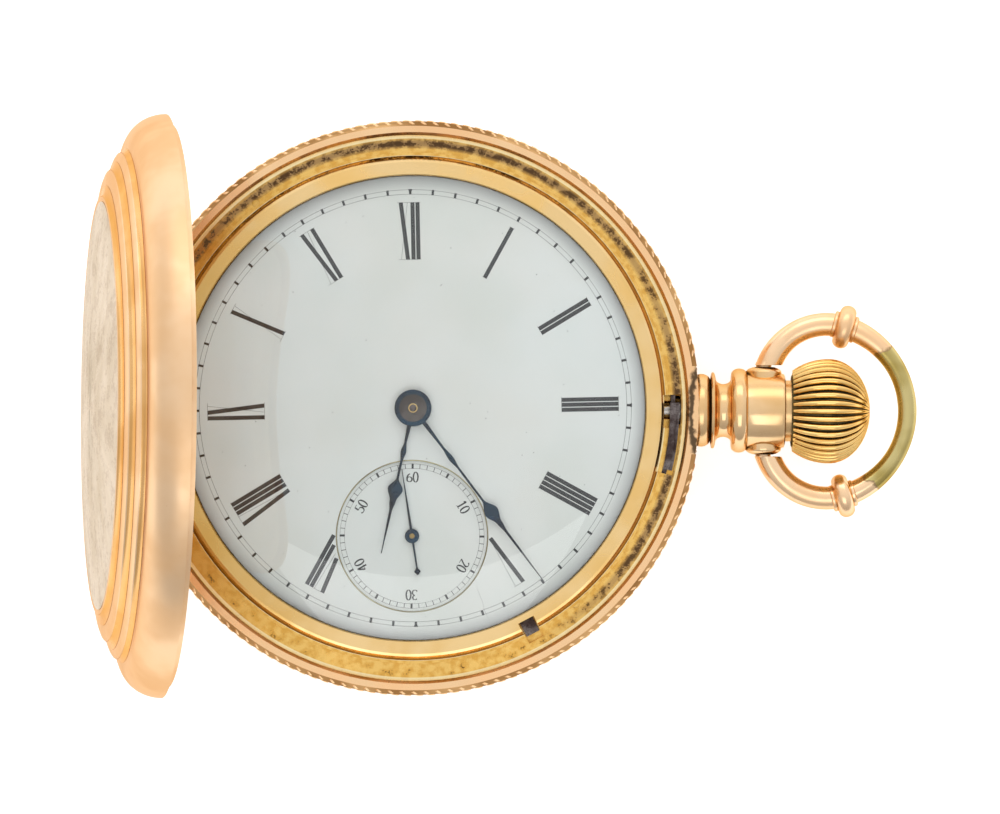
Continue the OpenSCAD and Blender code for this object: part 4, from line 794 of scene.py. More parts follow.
class Finishes:
    """Every material of the watch, built once."""

    def __init__(self) -> None:
        """Builds the materials."""
        self.case = CaseGold().material()
        self.rose = Metal("rose_gold", ROSE, ROSE_DEEP, rough=(0.16, 0.28), spots=0.03, grime=0.75,
                          grime_start=0.5).material()
        # painted shade: a darker copy of the rose gold, with strong corner darkening that stands for grimy corners too
        self.pendant = Metal("pendant_gold", srgb(238, 202, 156), srgb(222, 180, 124), dirt=srgb(96, 74, 40),
                             rough=(0.14, 0.26), spots=0.05, grime=0.9, grime_start=0.36).material()
        self.pale = Metal("pale_gold", PALE, YELLOW, rough=(0.14, 0.3), spots=0.12, grime=0.5).material()
        self.bezel = BezelGold().material()
        # painted shade: ambient occlusion darkens the cover's corners and the edges of its bands towards deep orange
        self.cover = Metal("cover_gold", srgb(236, 201, 162), srgb(228, 188, 144), dirt=srgb(186, 128, 66),
                           edge=srgb(234, 204, 172), rough=(0.36, 0.46), spots=0.0,
                           scratches=0.05, grime=0.9, grime_start=0.35, reach=0.0004).material()
        # painted shade: the coves between the cover's beads get a deeper, more orange copy of its gold
        self.cove = Metal("cove_gold", srgb(232, 184, 124), srgb(214, 162, 98), dirt=srgb(186, 132, 72),
                          rough=(0.25, 0.35), spots=0.0, grime=0.4).material()
        # painted shade: the rope's bed is a darker gold, so the gaps between the strands read as shaded
        self.rope_bed = Metal("rope_bed_gold", srgb(204, 160, 108), srgb(156, 114, 68), rough=(0.3, 0.5),
                              spots=0.2, grime=0.6, grime_start=0.3).material()
        self.frost = FrostGold().material()
        self.bow = BowGold().material()
        # painted shade in the crown's grooves: strong corner darkening on the ribs, standing for grimy grooves too
        self.crown = Metal("crown_gold", srgb(246, 206, 132), srgb(230, 178, 96), dirt=srgb(50, 50, 38),
                           rough=(0.12, 0.24), spots=0.02, grime=1.0, grime_start=0.34, reach=0.0005).material()
        # painted shade: the crown's core, seen between its ribs, is dark olive, and grimy too
        self.groove = Metal("grimy_groove", srgb(104, 92, 58), srgb(52, 48, 34), rough=(0.4, 0.6), spots=0.3,
                            scale=500.0).material()
        self.joint = Metal("seconds_joint", srgb(176, 168, 134), srgb(140, 132, 100), rough=(0.3, 0.5), spots=0.1,
                           grime=0.2).material()
        self.dark_steel = Metal("worn_dark_steel", srgb(120, 112, 110), srgb(70, 58, 56), dirt=srgb(44, 30, 28),
                                rough=(0.3, 0.5), spots=0.65, scale=700.0, scratches=0.6).material()
        self.hub_steel = Metal("dull_hub_steel", srgb(92, 86, 82), srgb(64, 56, 52), dirt=srgb(50, 42, 38),
                               rough=(0.35, 0.55), spots=0.5, scale=900.0, scratches=0.8).material()
        self.steel = Metal("satin_steel", srgb(196, 194, 190), srgb(160, 156, 152), rough=(0.2, 0.36), spots=0.1,
                           scratches=0.3, scale=400.0).material()
        self.blued = Blued().material()
        self.gilt = Gilt("gilt_brass", srgb(226, 196, 122), srgb(204, 166, 92)).material()
        self.plate = Gilt("damaskeened_plate", srgb(228, 206, 146), srgb(206, 178, 112), stripes=True).material()
        self.enamel = Enamel().material()
        self.seconds_enamel = Enamel("seconds_enamel", edge=(30.0, 31.0)).material()
        self.ink = Print().material()
        self.hairline = Print("dial_hairline", srgb(96, 98, 98), srgb(140, 142, 140)).material()
        self.glass = Crystal().material()
        self.ruby = Jewel().material()


# Meshes


def turns(start: float, end: float, count: int) -> list[float]:
    """Angles in radians from start to end, both given in degrees."""
    return [math.radians(start + (end - start) * i / count) for i in range(count + 1)]


def headings(path: Sequence[Sequence[float]]) -> list[Vector]:
    """Directions of a path at its points, each taken between the points on both sides."""
    last = len(path) - 1
    return [(Vector(path[min(i + 1, last)]) - Vector(path[max(i - 1, 0)])).normalized() for i in range(last + 1)]


@contextmanager
def editing(mesh: bpy.types.Mesh) -> Iterator[bmesh.types.BMesh]:
    """Opens a mesh for edits and writes them back afterwards.

    Args:
        mesh: The mesh to edit.

    Returns:
        The open mesh.
    """
    work = bmesh.new()
    work.from_mesh(mesh)
    yield work
    work.to_mesh(mesh)
    work.free()


def tidy_mesh(mesh: bpy.types.Mesh, sharp: float) -> None:
    """Merges doubles, turns faces outwards, and shades smooth up to an angle.

    Args:
        mesh: The mesh to tidy.
        sharp: Angle in degrees past which an edge stays sharp.
    """
    with editing(mesh) as work:
        bmesh.ops.remove_doubles(work, verts=work.verts, dist=1e-7)
        bmesh.ops.dissolve_degenerate(work, edges=work.edges, dist=1e-8)
        bmesh.ops.recalc_face_normals(work, faces=work.faces)
        for face in work.faces:
            face.smooth = True
        for edge in work.edges:
            edge.smooth = len(edge.link_faces) == 2 and edge.calc_face_angle(0.0) < math.radians(sharp)


def linked(name: str, data: bpy.types.ID) -> bpy.types.Object:
    """Puts a new object into the scene.

    Args:
        name: Name of the object.
        data: Its mesh, lamp or camera.

    Returns:
        The object.
    """
    piece = bpy.data.objects.new(name, data)
    bpy.context.collection.objects.link(piece)
    return piece


@dataclass
class Form:
    """Points in millimetres and the faces between them."""

    points: list[Point] = field(default_factory=list)
    faces: list[tuple[int, ...]] = field(default_factory=list)

    def join(self, *others: "Form") -> "Form":
        """Adds other forms to this one.

        Args:
            others: The forms to add.

        Returns:
            This form.
        """
        for other in others:
            start = len(self.points)
            self.points += other.points
            self.faces += [tuple(i + start for i in face) for face in other.faces]
        return self

    def moved(self, matrix: Matrix) -> "Form":
        """A copy of the form moved by a matrix in millimetres."""
        return Form([tuple(matrix @ Vector(p)) for p in self.points], list(self.faces))

    def mesh(self, name: str, sharp: float | None = 32.0) -> bpy.types.Mesh:
        """Makes the mesh in metres.

        Args:
            name: Name of the mesh.
            sharp: Angle in degrees past which an edge stays sharp, or None for a mesh that isn't tidied.

        Returns:
            The new mesh.
        """
        mesh = bpy.data.meshes.new(name)
        mesh.from_pydata([tuple(c * MM for c in p) for p in self.points], [], self.faces)
        if sharp is not None:
            tidy_mesh(mesh, sharp)
        return mesh

    def piece(self, name: str, sharp: float = 32.0) -> bpy.types.Object:
        """Makes the mesh and its object."""
        return linked(name, self.mesh(name, sharp))


def loft(rings: Sequence[Sequence[Point]], looped: bool = False) -> Form:
    """Joins rings of points into a closed skin. Nothing is put between two rings shrunk to a point.

    Args:
        rings: The rings, each with the same number of points.
        looped: True to join the last ring to the first, False to close both ends with a face.

    Returns:
        The form.
    """
    rows, span = len(rings), len(rings[0])
    form = Form([point for ring in rings for point in ring])
    for i in range(rows if looped else rows - 1):
        j = (i + 1) % rows
        if len({*rings[i]}) > 1 or len({*rings[j]}) > 1:
            form.faces += [(i * span + k, i * span + (k + 1) % span, j * span + (k + 1) % span, j * span + k)
                           for k in range(span)]
    if not looped:
        form.faces += [tuple(range(span - 1, -1, -1)), tuple(range((rows - 1) * span, rows * span))]
    return form


def lathe(profile: Sequence[Pair], steps: int = 192) -> Form:
    """Turns a closed profile of radius and height round the Z axis."""
    circle = [(math.cos(t), math.sin(t)) for t in turns(0, 360, steps)[:-1]]
    return loft([[(radius * x, radius * y, height) for x, y in circle] for radius, height in profile], looped=True)


def band(inner: float, outer: float, low: float, high: float, steps: int = 256) -> Form:
    """A flat ring between two radii and two heights."""
    return lathe([(inner, low), (outer, low), (outer, high), (inner, high)], steps)


def prism(outline: Sequence[Pair], low: float, high: float) -> Form:
    """A flat plate with this outline between two heights."""
    return loft([[(x, y, z) for x, y in outline] for z in (low, high)])


def box(low: Point, high: Point) -> Form:
    """A box between two corners."""
    return prism([(low[0], low[1]), (high[0], low[1]), (high[0], high[1]), (low[0], high[1])], low[2], high[2])


def strip(path: Sequence[Pair], widths: Sequence[float], low: float, high: float) -> Form:
    """Makes a flat stroke along a path, as wide as asked at each point.

    Args:
        path: Points of the stroke's middle line.
        widths: Its width at each point.
        low: Height of its underside.
        high: Height of its top.

    Returns:
        The stroke.
    """
    sides = [Vector((-ahead.y, ahead.x)) * width / 2 for ahead, width in zip(headings(path), widths)]
    left = [(x + side.x, y + side.y) for (x, y), side in zip(path, sides)]
    right = [(x - side.x, y - side.y) for (x, y), side in zip(path, sides)]
    return Form().join(*(prism([right[i], right[i + 1], left[i + 1], left[i]], low, high)
                         for i in range(len(path) - 1)))


def tube(path: Sequence[Vector], radii: Sequence[float], sides: int, level: bool = True) -> Form:
    """Sweeps a round wire along a path, with capped ends.

    Args:
        path: Points of the wire's middle line.
        radii: The wire's radius at each point.
        sides: Number of sides.
        level: True for a path in a level plane, False for one that climbs beside the Z axis.

    Returns:
        The wire.
    """
    rings = []
    for point, ahead, radius in zip(path, headings(path), radii):
        away = Vector((0, 0, 1)) if level else Vector((point.x, point.y, 0))
        side = ahead.cross(away).normalized()
        other = ahead.cross(side)
        rings.append([tuple(point + (side * math.cos(t) + other * math.sin(t)) * radius)
                      for t in turns(0, 360, sides)[:-1]])
    return loft(rings)


def arc(centre: Pair, radius: float, start: float, end: float, count: int) -> list[Pair]:
    """Points along an arc, with its angles in degrees."""
    return [(centre[0] + radius * math.cos(t), centre[1] + radius * math.sin(t)) for t in turns(start, end, count - 1)]


def shift(x: float, y: float, z: float = 0.0) -> Matrix:
    """Matrix that moves a form."""
    return Matrix.Translation((x, y, z))


def along_x(x: float, y: float, z: float) -> Matrix:
    """Matrix that lays a form turned round Z along the X axis at a place."""
    return shift(x, y, z) @ Matrix.Rotation(math.pi / 2, 4, "Y")


def along_y(x: float, z: float = 0.0, side: int = 1) -> Matrix:
    """Matrix that lays a form turned round Z along the Y axis, to one side or the other."""
    return shift(x, 0, z) @ Matrix.Rotation(-side * math.pi / 2, 4, "X")


def dress(piece: bpy.types.Object, finish: bpy.types.Material) -> None:
    """Gives a piece its only material."""
    piece.data.materials.clear()
    piece.data.materials.append(finish)


def place(piece: bpy.types.Object, body: Body, slot: Slot, finish: bpy.types.Material,
          instead_of: Iterable[str] = ()) -> None:
    """Dresses a piece, lets it ride on its body and reports it.

    Args:
        piece: The finished piece.
        body: The body that it moves with.
        slot: The record's slot for its finish; not used.
        finish: Its material.
        instead_of: CAD nodes that it stands for.
    """
    dress(piece, finish)
    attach(piece, body.value)
    nodes = tuple(instead_of)
    if nodes:
        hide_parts(*nodes)
    LOG.info("%s: %d faces on %s", piece.name, len(piece.data.polygons), body.value)


def bake(piece: bpy.types.Object, sharp: float) -> None:
    """Turns a piece's modifiers into its plain mesh.

    Args:
        piece: The piece.
        sharp: Angle in degrees past which an edge stays sharp.
    """
    start = piece.data
    mesh = bpy.data.meshes.new_from_object(piece.evaluated_get(bpy.context.evaluated_depsgraph_get()))
    piece.modifiers.clear()
    piece.data = mesh
    bpy.data.meshes.remove(start)
    mesh.name = piece.name
    tidy_mesh(mesh, sharp)


def joined(name: str, pieces: Sequence[bpy.types.Object]) -> bpy.types.Object:
    """Joins several undressed pieces into one.

    Args:
        name: Name of the joined piece.
        pieces: The pieces, which are used up.

    Returns:
        The joined piece.
    """
    mesh = bpy.data.meshes.new(name)
    with editing(mesh) as work:
        for piece in pieces:
            work.from_mesh(piece.data)
    for piece in pieces:
        bpy.data.objects.remove(piece)
    return linked(name, mesh)


def carve(piece: bpy.types.Object, cutter: Form, sharp: float = 32.0) -> None:
    """Cuts a form out of a piece.

    Args:
        piece: The piece to cut.
        cutter: What is taken away.
        sharp: Angle in degrees past which an edge stays sharp.
    """
    tool = cutter.piece(piece.name + "_cutter")
    modifier = piece.modifiers.new("cut", "BOOLEAN")
    modifier.operation = "DIFFERENCE"
    modifier.solver = "EXACT"
    modifier.object = tool
    bake(piece, sharp)
    bpy.data.objects.remove(tool)


def clear(piece: bpy.types.Object, hit: Callable[[Vector], bool], whole: bool = True) -> None:
    """Deletes vertices of a piece.

    Args:
        piece: The piece, made of many small bits.
        hit: Tells for a vertex's place whether it goes.
        whole: True to delete all of a bit of which a vertex goes.
    """
    with editing(piece.data) as work:
        doomed = {v for v in work.verts if hit(v.co)}
        grown = list(doomed) if whole else []
        while grown:
            vertex = grown.pop()
            for other in (edge.other_vert(vertex) for edge in vertex.link_edges):
                if other not in doomed:
                    doomed.add(other)
                    grown.append(other)
        bmesh.ops.delete(work, geom=list(doomed), context="VERTS")


def keep_outside(piece: bpy.types.Object, gap: Form) -> None:
    """Deletes the separate bits of a piece that reach into a box."""
    low, high = ([pick(p[i] for p in gap.points) * MM for i in range(3)] for pick in (min, max))
    clear(piece, lambda spot: all(low[i] < spot[i] < high[i] for i in range(3)))


# Geometry Nodes


def geometry_group(name: str, build: Callable[[Tree, Sockets], Socket], **inputs: object) -> bpy.types.NodeTree:
    """Builds a geometry tree that ends in real geometry in the given material.

    Args:
        name: Name of the tree.
        build: Function that adds its nodes and returns the geometry's socket.
        inputs: Default of each input by name.

    Returns:
        The tree.
    """

    def finished(nodes: Tree, given: Sockets) -> Sockets:
        """Realizes and dresses the geometry.

        Args:
            nodes: The tree.
            given: Its inputs by name.

        Returns:
            The socket for Geometry.
        """
        real = nodes.add("GeometryNodeRealizeInstances", {0: build(nodes, given)})
        dressed = nodes.add("GeometryNodeSetMaterial", {"Geometry": real.outputs[0], "Material": given["Material"]})
        return {"Geometry": dressed.outputs[0]}

    return node_group("GeometryNodeTree", name, {"Geometry": Kind.GEOMETRY, **inputs, "Material": Kind.MATERIAL},
                      {"Geometry": Kind.GEOMETRY}, finished)


def repeat_round_axis(nodes: Tree, given: Sockets) -> Socket:
    """Repeats a shape evenly round an axis.

    Args:
        nodes: The tree.
        given: Its inputs by name.

    Returns:
        The copies' socket.
    """
    back = nodes.add("ShaderNodeVectorMath", {0: given["Centre"], 1: (-1.0, -1.0, -1.0)}, operation="MULTIPLY")
    centred = nodes.add("GeometryNodeTransform", {"Geometry": given["Geometry"], "Translation": back.outputs[0]})
    points = nodes.add("GeometryNodePoints", {"Count": given["Count"]})
    step = nodes.math("DIVIDE", math.tau, given["Count"])
    turn = nodes.math("MULTIPLY_ADD", nodes.add("GeometryNodeInputIndex").outputs[0], step, given["Start"])
    rotation = nodes.add("FunctionNodeAxisAngleToRotation", {"Axis": given["Axis"], "Angle": turn})
    copies = nodes.add("GeometryNodeInstanceOnPoints", {
        "Points": points.outputs[0], "Instance": centred.outputs[0], "Rotation": rotation.outputs[0]})
    return nodes.add("GeometryNodeTransform", {"Geometry": copies.outputs[0],
                                               "Translation": given["Centre"]}).outputs[0]


def engine_turning(nodes: Tree, given: Sockets) -> Socket:
    """Cuts waved rings, as an engine-turning lathe does, into the top of a turned shell.

    Args:
        nodes: The tree.
        given: Its inputs by name.

    Returns:
        The cut shell's socket.
    """
    radius, angle, _ = nodes.polar(nodes.add("GeometryNodeInputPosition").outputs[0])
    normal = nodes.add("ShaderNodeSeparateXYZ", {0: nodes.add("GeometryNodeInputNormal").outputs[0]})
    ring = nodes.math("DIVIDE", radius, given["Pitch"])
    swing = nodes.times(nodes.math("COSINE", nodes.times(angle, given["Waves"])), given["Swing"])
    wave = nodes.math("COSINE", nodes.times(nodes.math("ADD", ring, swing), math.tau))
    mask = nodes.times(nodes.math("LESS_THAN", radius, given["Field"]),
                       nodes.math("GREATER_THAN", radius, given["Middle"]),
                       nodes.math("GREATER_THAN", normal.outputs[2], 0.3))
    offset = nodes.add("ShaderNodeCombineXYZ", {2: nodes.times(wave, given["Depth"], mask)})
    return nodes.add("GeometryNodeSetPosition", {"Geometry": given["Geometry"],
                                                 "Offset": offset.outputs[0]}).outputs[0]


def strewn_specks(nodes: Tree, given: Sockets) -> Socket:
    """Strews small flat specks over a surface.

    Args:
        nodes: The tree.
        given: Its inputs by name.

    Returns:
        The specks' socket.
    """
    strewn = nodes.add("GeometryNodeDistributePointsOnFaces", {
        "Mesh": given["Geometry"], "Density": given["Density"], "Seed": given["Seed"]})
    speck = nodes.add("GeometryNodeMeshCylinder", {"Vertices": 7, "Radius": given["Size"], "Depth": 0.01 * MM})
    size = nodes.add("FunctionNodeRandomValue", {2: 0.35, 3: 1.2, "Seed": given["Seed"]}, data_type="FLOAT")
    return nodes.add("GeometryNodeInstanceOnPoints", {
        "Points": strewn.outputs[0], "Instance": speck.outputs[0], "Scale": size.outputs[1]}).outputs[0]


class Workshop:
    """The geometry trees, each built once, and the way to run them."""

    def __init__(self) -> None:
        """Builds the trees."""
        self.round_array = geometry_group("repeat_round_axis", repeat_round_axis, Count=12, Axis=(0.0, 0.0, 1.0),
                                          Centre=(0.0, 0.0, 0.0), Start=0.0)
        self.turning = geometry_group("engine_turning", engine_turning, Field=0.019, Middle=0.004, Pitch=0.0006,
                                      Waves=48.0, Swing=0.5, Depth=0.00003)
        self.scatter = geometry_group("strewn_specks", strewn_specks, Density=40000.0, Size=0.00005, Seed=7)

    def run(self, name: str, start: bpy.types.Mesh, tree: bpy.types.NodeTree, sharp: float = 32.0,
            **inputs: object) -> bpy.types.Object:
        """Runs a geometry tree on a mesh and keeps the result as a plain mesh.

        Args:
            name: Name of the finished piece.
            start: Mesh that goes in.
            tree: The tree to run.
            sharp: Angle in degrees past which an edge stays sharp.
            inputs: The tree's inputs by name.

        Returns:
            The finished piece.
        """
        piece = linked(name, start)
        modifier = piece.modifiers.new("nodes", "NODES")
        modifier.node_group = tree
        sockets = {item.name: item.identifier for item in tree.interface.items_tree
                   if item.item_type == "SOCKET" and item.in_out == "INPUT"}
        for label, value in inputs.items():
            modifier[sockets[label]] = value
        bake(piece, sharp)
        return piece

    def repeat(self, name: str, form: Form, count: int, centre: Point = (0.0, 0.0, 0.0),
               axis: Point = (0.0, 0.0, 1.0), start: float = 0.0, sharp: float = 32.0) -> bpy.types.Object:
        """Repeats a form round an axis.

        Args:
            name: Name of the finished piece.
            form: The first copy, where it belongs.
            count: Number of copies.
            centre: A point on the axis, in millimetres.
            axis: Direction of the axis.
            start: Turn of the first copy, in radians.
            sharp: Angle in degrees past which an edge stays sharp.

        Returns:
            The finished piece.
        """
        middle = tuple(c * MM for c in centre)
        return self.run(name, form.mesh(name + "_one"), self.round_array, sharp, Count=count, Centre=middle,
                        Axis=axis, Start=start)


# Sub-assemblies


@dataclass
class Assembly:
    """A sub-assembly, with the workshop and the finishes that it is made with."""

    shop: Workshop
    finishes: Finishes

    def build(self) -> None:
        """Makes the sub-assembly's pieces."""
        raise NotImplementedError


@dataclass
class CaseCentre(Assembly):
    """The case centre's dress: the rope-milled beads on its two rims and the coin edge between them."""

    radius: float = 27.76
    rim_z: float = 12.3
    back_z: float = 5.3
    strand_r: float = 0.2
    strands: int = 150
    root_half: float = 4.3
    reach: float = 1.4
    hinge_half: float = 6.3
    coin_ribs: int = 260
    strand_line: Sequence[Pair] = ((27.66, 0.2), (27.71, 0.15), (27.78, 0.125), (27.85, 0.135), (27.9, 0.19),
                                   (27.92, 0.3), (27.92, 0.45), (27.91, 0.6))
    bed: Sequence[Pair] = ((27.54, -0.005), (27.57, -0.02), (27.93, -0.02), (28.0, 0.05), (28.01, 0.6),
                           (27.8, 0.62), (27.8, 0.1), (27.54, 0.1))

    def strand(self, edge: float, side: int) -> Form:
        """One strand of the rope, a slim bead that runs aslant over the rim's edge.

        Args:
            edge: Height of the rim's face.
            side: 1 for the front rim and -1 for the back rim.

        Returns:
            The strand at three o'clock.
        """
        path, radii = [], []
        for i, (out, down) in enumerate(self.strand_line):
            share = i / (len(self.strand_line) - 1) - 0.5
            around = share * self.reach / self.radius
            path.append(Vector((out * math.cos(around), out * math.sin(around), edge - side * down)))
            radii.append(self.strand_r * math.sqrt(max(0.1, 1 - (2 * share) ** 6)))
        return tube(path, radii, 6, level=False)

    def build(self) -> None:
        """Makes the two ropes on their grimy beds, and the coin edge."""
        for name, edge, side in (("front_rim", self.rim_z, 1), ("back_rim", self.back_z + 0.3, -1)):
            rope = self.shop.repeat(f"{name}_rope", self.strand(edge, side), self.strands, sharp=60.0)
            section = [(radius, edge - side * down) for radius, down in self.bed[::-side]]
            ring = lathe(section, 240).piece(f"{name}_rope_bed")
            gap = box((-self.radius - 2, -self.hinge_half, edge - 2), (-self.radius + 3, self.hinge_half, edge + 2))
            root = box((self.radius - 3, -self.root_half, edge - 2), (self.radius + 2, self.root_half, edge + 2))
            for room in (gap, root) if side > 0 else (gap,):
                keep_outside(rope, room)
                carve(ring, room)
            place(rope, Body.CASE, Slot.GOLD, self.finishes.rose)
            # the bed's darker gold is painted shade between the strands
            place(ring, Body.CASE, Slot.GOLD, self.finishes.rope_bed)
        rib = box((self.radius - 0.06, -0.12, self.back_z + 1.0), (self.radius + 0.24, 0.12, self.rim_z - 0.65))
        coin = self.shop.repeat("coin_edge", rib, self.coin_ribs)
        keep_outside(coin, box((self.radius - 4, -3.0, self.back_z), (self.radius + 3, 3.0, self.rim_z)))
        place(coin, Body.CASE, Slot.GOLD, self.finishes.case)


@dataclass
class Cover(Assembly):
    """A hinged outer cover: turned shell, fine steps, engine-turned field, lip and knuckles."""

    hinge_x: float = 27.0
    hinge_l: float = 12.0
    knuckle_r: float = 0.8
    knuckle_gap: float = 0.1
    room_r: float = 1.12
    pin_r: float = 0.38
    rim_r: float = 27.5
    polish_w: float = 3.2
    wall: float = 0.5
    seat: float = 0.04
    lip_top: Pair = (26.5, 0.9)
    steps: int = 288
    pitch: float = 0.9
    waves: float = 24.0
    sharp: float = 40.0

    def turned(self, name: str, top: Sequence[Pair], outer: float, inner: float, steps: int) -> bpy.types.Object:
        """An engine-turned disc or ring.

        Args:
            name: Name of the piece.
            top: Its section as radius and height, from its top's edge round to its underside.
            outer: Radius at which the waved cuts end.
            inner: Radius at which they begin.
            steps: Number of steps round.

        Returns:
            The piece.
        """
        return self.shop.run(name, lathe(top, steps).mesh(name, self.sharp), self.shop.turning, 60.0,
                             Field=outer * MM, Middle=inner * MM, Pitch=self.pitch * MM, Waves=self.waves,
                             Swing=0.9, Depth=0.035 * MM)

    def polish(self, rise: float) -> list[Pair]:
        """Points of the polished band, from the rim inwards."""
        return [(self.rim_r - self.polish_w * (1 - math.cos(t)), max(rise * math.sin(t), self.seat))
                for t in turns(0, 90, 18)]

    def shell(self, outline: Sequence[Pair], lip: Sequence[Pair]) -> Form:
        """The turned shell, closed by its inner side and its lip.

        Args:
            outline: Outer points from the rim to the middle.
            lip: Points of the lip, from inside out.

        Returns:
            The shell.
        """
        coarse = [*outline[::3], outline[-1]]
        inner = [(max(x - along.y * self.wall, 0.0), y + along.x * self.wall)
                 for (x, y), along in zip(coarse, headings(coarse))]
        inner[-1] = (0.0, inner[-1][1])
        kept = [p for p in inner if p[1] > 1.3]
        return lathe([*outline, *kept[::-1], self.lip_top, *lip], self.steps)

    def spans(self, which: Iterable[int], grown: float) -> list[Pair]:
        """Both ends along the hinge of some of its five knuckles, each grown by a length at both ends."""
        fifth = self.hinge_l / 5
        return [(i * fifth - self.hinge_l / 2 - grown, (i + 1) * fifth - self.hinge_l / 2 + grown) for i in which]

    def knuckles(self) -> Form:
        """The cover's two hinge knuckles, as tubes along Y with a foot each.

        Returns:
            The knuckles.
        """
        form = Form()
        for low, high in self.spans((1, 3), -self.knuckle_gap / 2):
            form.join(band(self.pin_r, self.knuckle_r, low, high, 40).moved(along_y(-self.hinge_x)),
                      box((-self.hinge_x + 0.35, low, 0.0), (-self.hinge_x + 0.9, high, 1.1)))
        return form

    def hinge_room(self) -> list[Form]:
        """What is cut out of the shell, one after another, to clear the case's half of the hinge.

        Returns:
            A box and a bar for each of the case's knuckles.
        """
        half = self.hinge_l / 2 + 0.05
        slab = box((-self.hinge_x - 3, -half, -2), (-self.hinge_x + 1.6, half, self.seat / 2))
        return [slab] + [band(0.0, self.room_r, low, high, 40).moved(along_y(-self.hinge_x))
                         for low, high in self.spans((0, 2, 4), self.knuckle_gap / 2)]

    def body(self, name: str, outline: Sequence[Pair], lip: Sequence[Pair]) -> bpy.types.Object:
        """The shell and its knuckles in one piece.

        Args:
            name: Name of the cover.
            outline: Outer points of the shell.
            lip: Points of its lip.

        Returns:
            The piece.
        """
        shell = self.shell(outline, lip).piece(f"{name}_shell", self.sharp)
        for room in self.hinge_room():
            carve(shell, room, self.sharp)
        return joined(f"{name}_dressed", [shell, self.knuckles().piece(f"{name}_knuckles")])


@dataclass
class FrontCover(Cover):
    """The front cover, thrown open to the left."""

    rim_z: float = 12.3
    open_angle: float = 82.0
    polish_rise: float = 3.7
    depth: float = 6.9
    field_r: float = 19.2
    field_rise: float = 0.85
    field_rows: int = 150
    coves: Sequence[Sequence[Pair]] = (
        ((24.2, 3.8), (24.0, 3.93), (23.88, 4.08), (23.85, 4.25)),
        ((22.95, 4.72), (22.6, 4.84), (22.3, 5.02), (22.2, 5.22)),
        ((20.7, 5.6), (20.2, 5.68), (19.85, 5.82), (19.7, 6.02)))
    beads: Sequence[Sequence[Pair]] = (
        ((23.8, 4.36), (23.6, 4.5), (23.2, 4.66)), ((22.12, 5.32), (21.7, 5.48), (21.2, 5.56)),
        ((19.6, 6.06), (19.4, 6.07), (19.3, 6.0)))
    lip: Sequence[Pair] = ((26.1, 0.5), (26.1, -0.28), (25.8, -0.35), (25.8, -0.5), (26.53, -0.5))

    def dome(self, share: float, drop: float = 0.0) -> Pair:
        """A point of the engine-turned field at a share of its radius."""
        return self.field_r * share, self.depth - self.field_rise * share * share - drop

    def outline(self) -> list[Pair]:
        """Outer points from the rim to the middle.

        Returns:
            The polished band, the beads with room for the coves, and the field's seat.
        """
        points = self.polish(self.polish_rise)
        for cove, bead in zip(self.coves, self.beads):
            points += [(r - 0.03, z - 0.03) for r, z in cove] + list(bead)
        return points + [self.dome(1 - i / 8, 0.06) for i in range(9)]

    def build(self) -> None:
        """Makes the cover, its coves and its engine-turned field, and opens them."""
        cover = self.body("front_cover", self.outline(), (*self.lip, (self.lip[-1][0], self.seat)))
        top = [self.dome(1 - i / self.field_rows) for i in range(self.field_rows + 1)]
        field = self.turned("front_cover_field", top + [self.dome(0.0, 0.05), self.dome(1.0, 0.05)],
                            self.field_r - 0.2, 0.5, 480)
        coves = Form().join(*(lathe([*cove, *((r - 0.15, z - 0.15) for r, z in (cove[-1], cove[0]))], self.steps)
                              for cove in self.coves)).piece("front_cover_coves", self.sharp)
        swing = (shift(-self.hinge_x * MM, 0, self.rim_z * MM)
                 @ Matrix.Rotation(math.radians(-self.open_angle), 4, "Y") @ shift(self.hinge_x * MM, 0))
        for piece in (cover, field, coves):
            piece.data.transform(swing)
        place(cover, Body.FRONT_COVER, Slot.GOLD, self.finishes.cover, ["front_cover"])
        place(field, Body.FRONT_COVER, Slot.GOLD, self.finishes.frost)
        # the coves' deeper gold is painted shade
        place(coves, Body.FRONT_COVER, Slot.GOLD, self.finishes.cove)


@dataclass
class BackCover(Cover):
    """The back cover, closed under the watch."""

    rim_z: float = 5.3
    depth: float = 5.3
    rest_r: float = 12.5
    turned_out: float = 23.6
    ring_rows: int = 90
    lip: Sequence[Pair] = ((25.95, 0.5), (25.95, -0.45), (26.5, -0.45))

    def slope(self, radius: float, drop: float = 0.0) -> Pair:
        """A point of the slope round the resting flat."""
        share = (radius - self.rest_r) / (self.rim_r - self.polish_w - 0.15 - self.rest_r)
        return radius, self.depth - 1.3 * max(share, 0.0) ** 1.8 - drop

    def outline(self) -> list[Pair]:
        """Outer points from the rim to the middle.

        Returns:
            The polished band, the slope with a seat for the turned ring, and the flat.
        """
        ring = [self.slope(self.turned_out - (self.turned_out - self.rest_r - 0.4) * i / 10, 0.06) for i in range(11)]
        flat = [(self.rest_r * (1 - i / 4), self.depth) for i in range(5)]
        return [*self.polish(self.depth - 1.5), self.slope(24.1), self.slope(self.turned_out + 0.05), *ring,
                self.slope(self.rest_r + 0.35), *flat]

    def build(self) -> None:
        """Makes the cover and its engine-turned ring, and turns them over."""
        cover = self.body("back_cover", self.outline(), (*self.lip, (self.lip[-1][0], self.seat)))
        inner, outer = self.rest_r + 0.45, self.turned_out
        top = [self.slope(outer - (outer - inner) * i / self.ring_rows) for i in range(self.ring_rows + 1)]
        ring = self.turned("back_cover_ring", top + [self.slope(inner, 0.05), self.slope(outer, 0.05)],
                           outer - 0.2, inner + 0.2, 600)
        flip = shift(0, 0, self.rim_z * MM) @ Matrix.Scale(-1, 4, (0, 0, 1))
        for piece in (cover, ring):
            piece.data.transform(flip)
            piece.data.flip_normals()
        place(cover, Body.BACK_COVER, Slot.GOLD, self.finishes.cover, ["back_cover"])
        place(ring, Body.BACK_COVER, Slot.GOLD, self.finishes.frost)


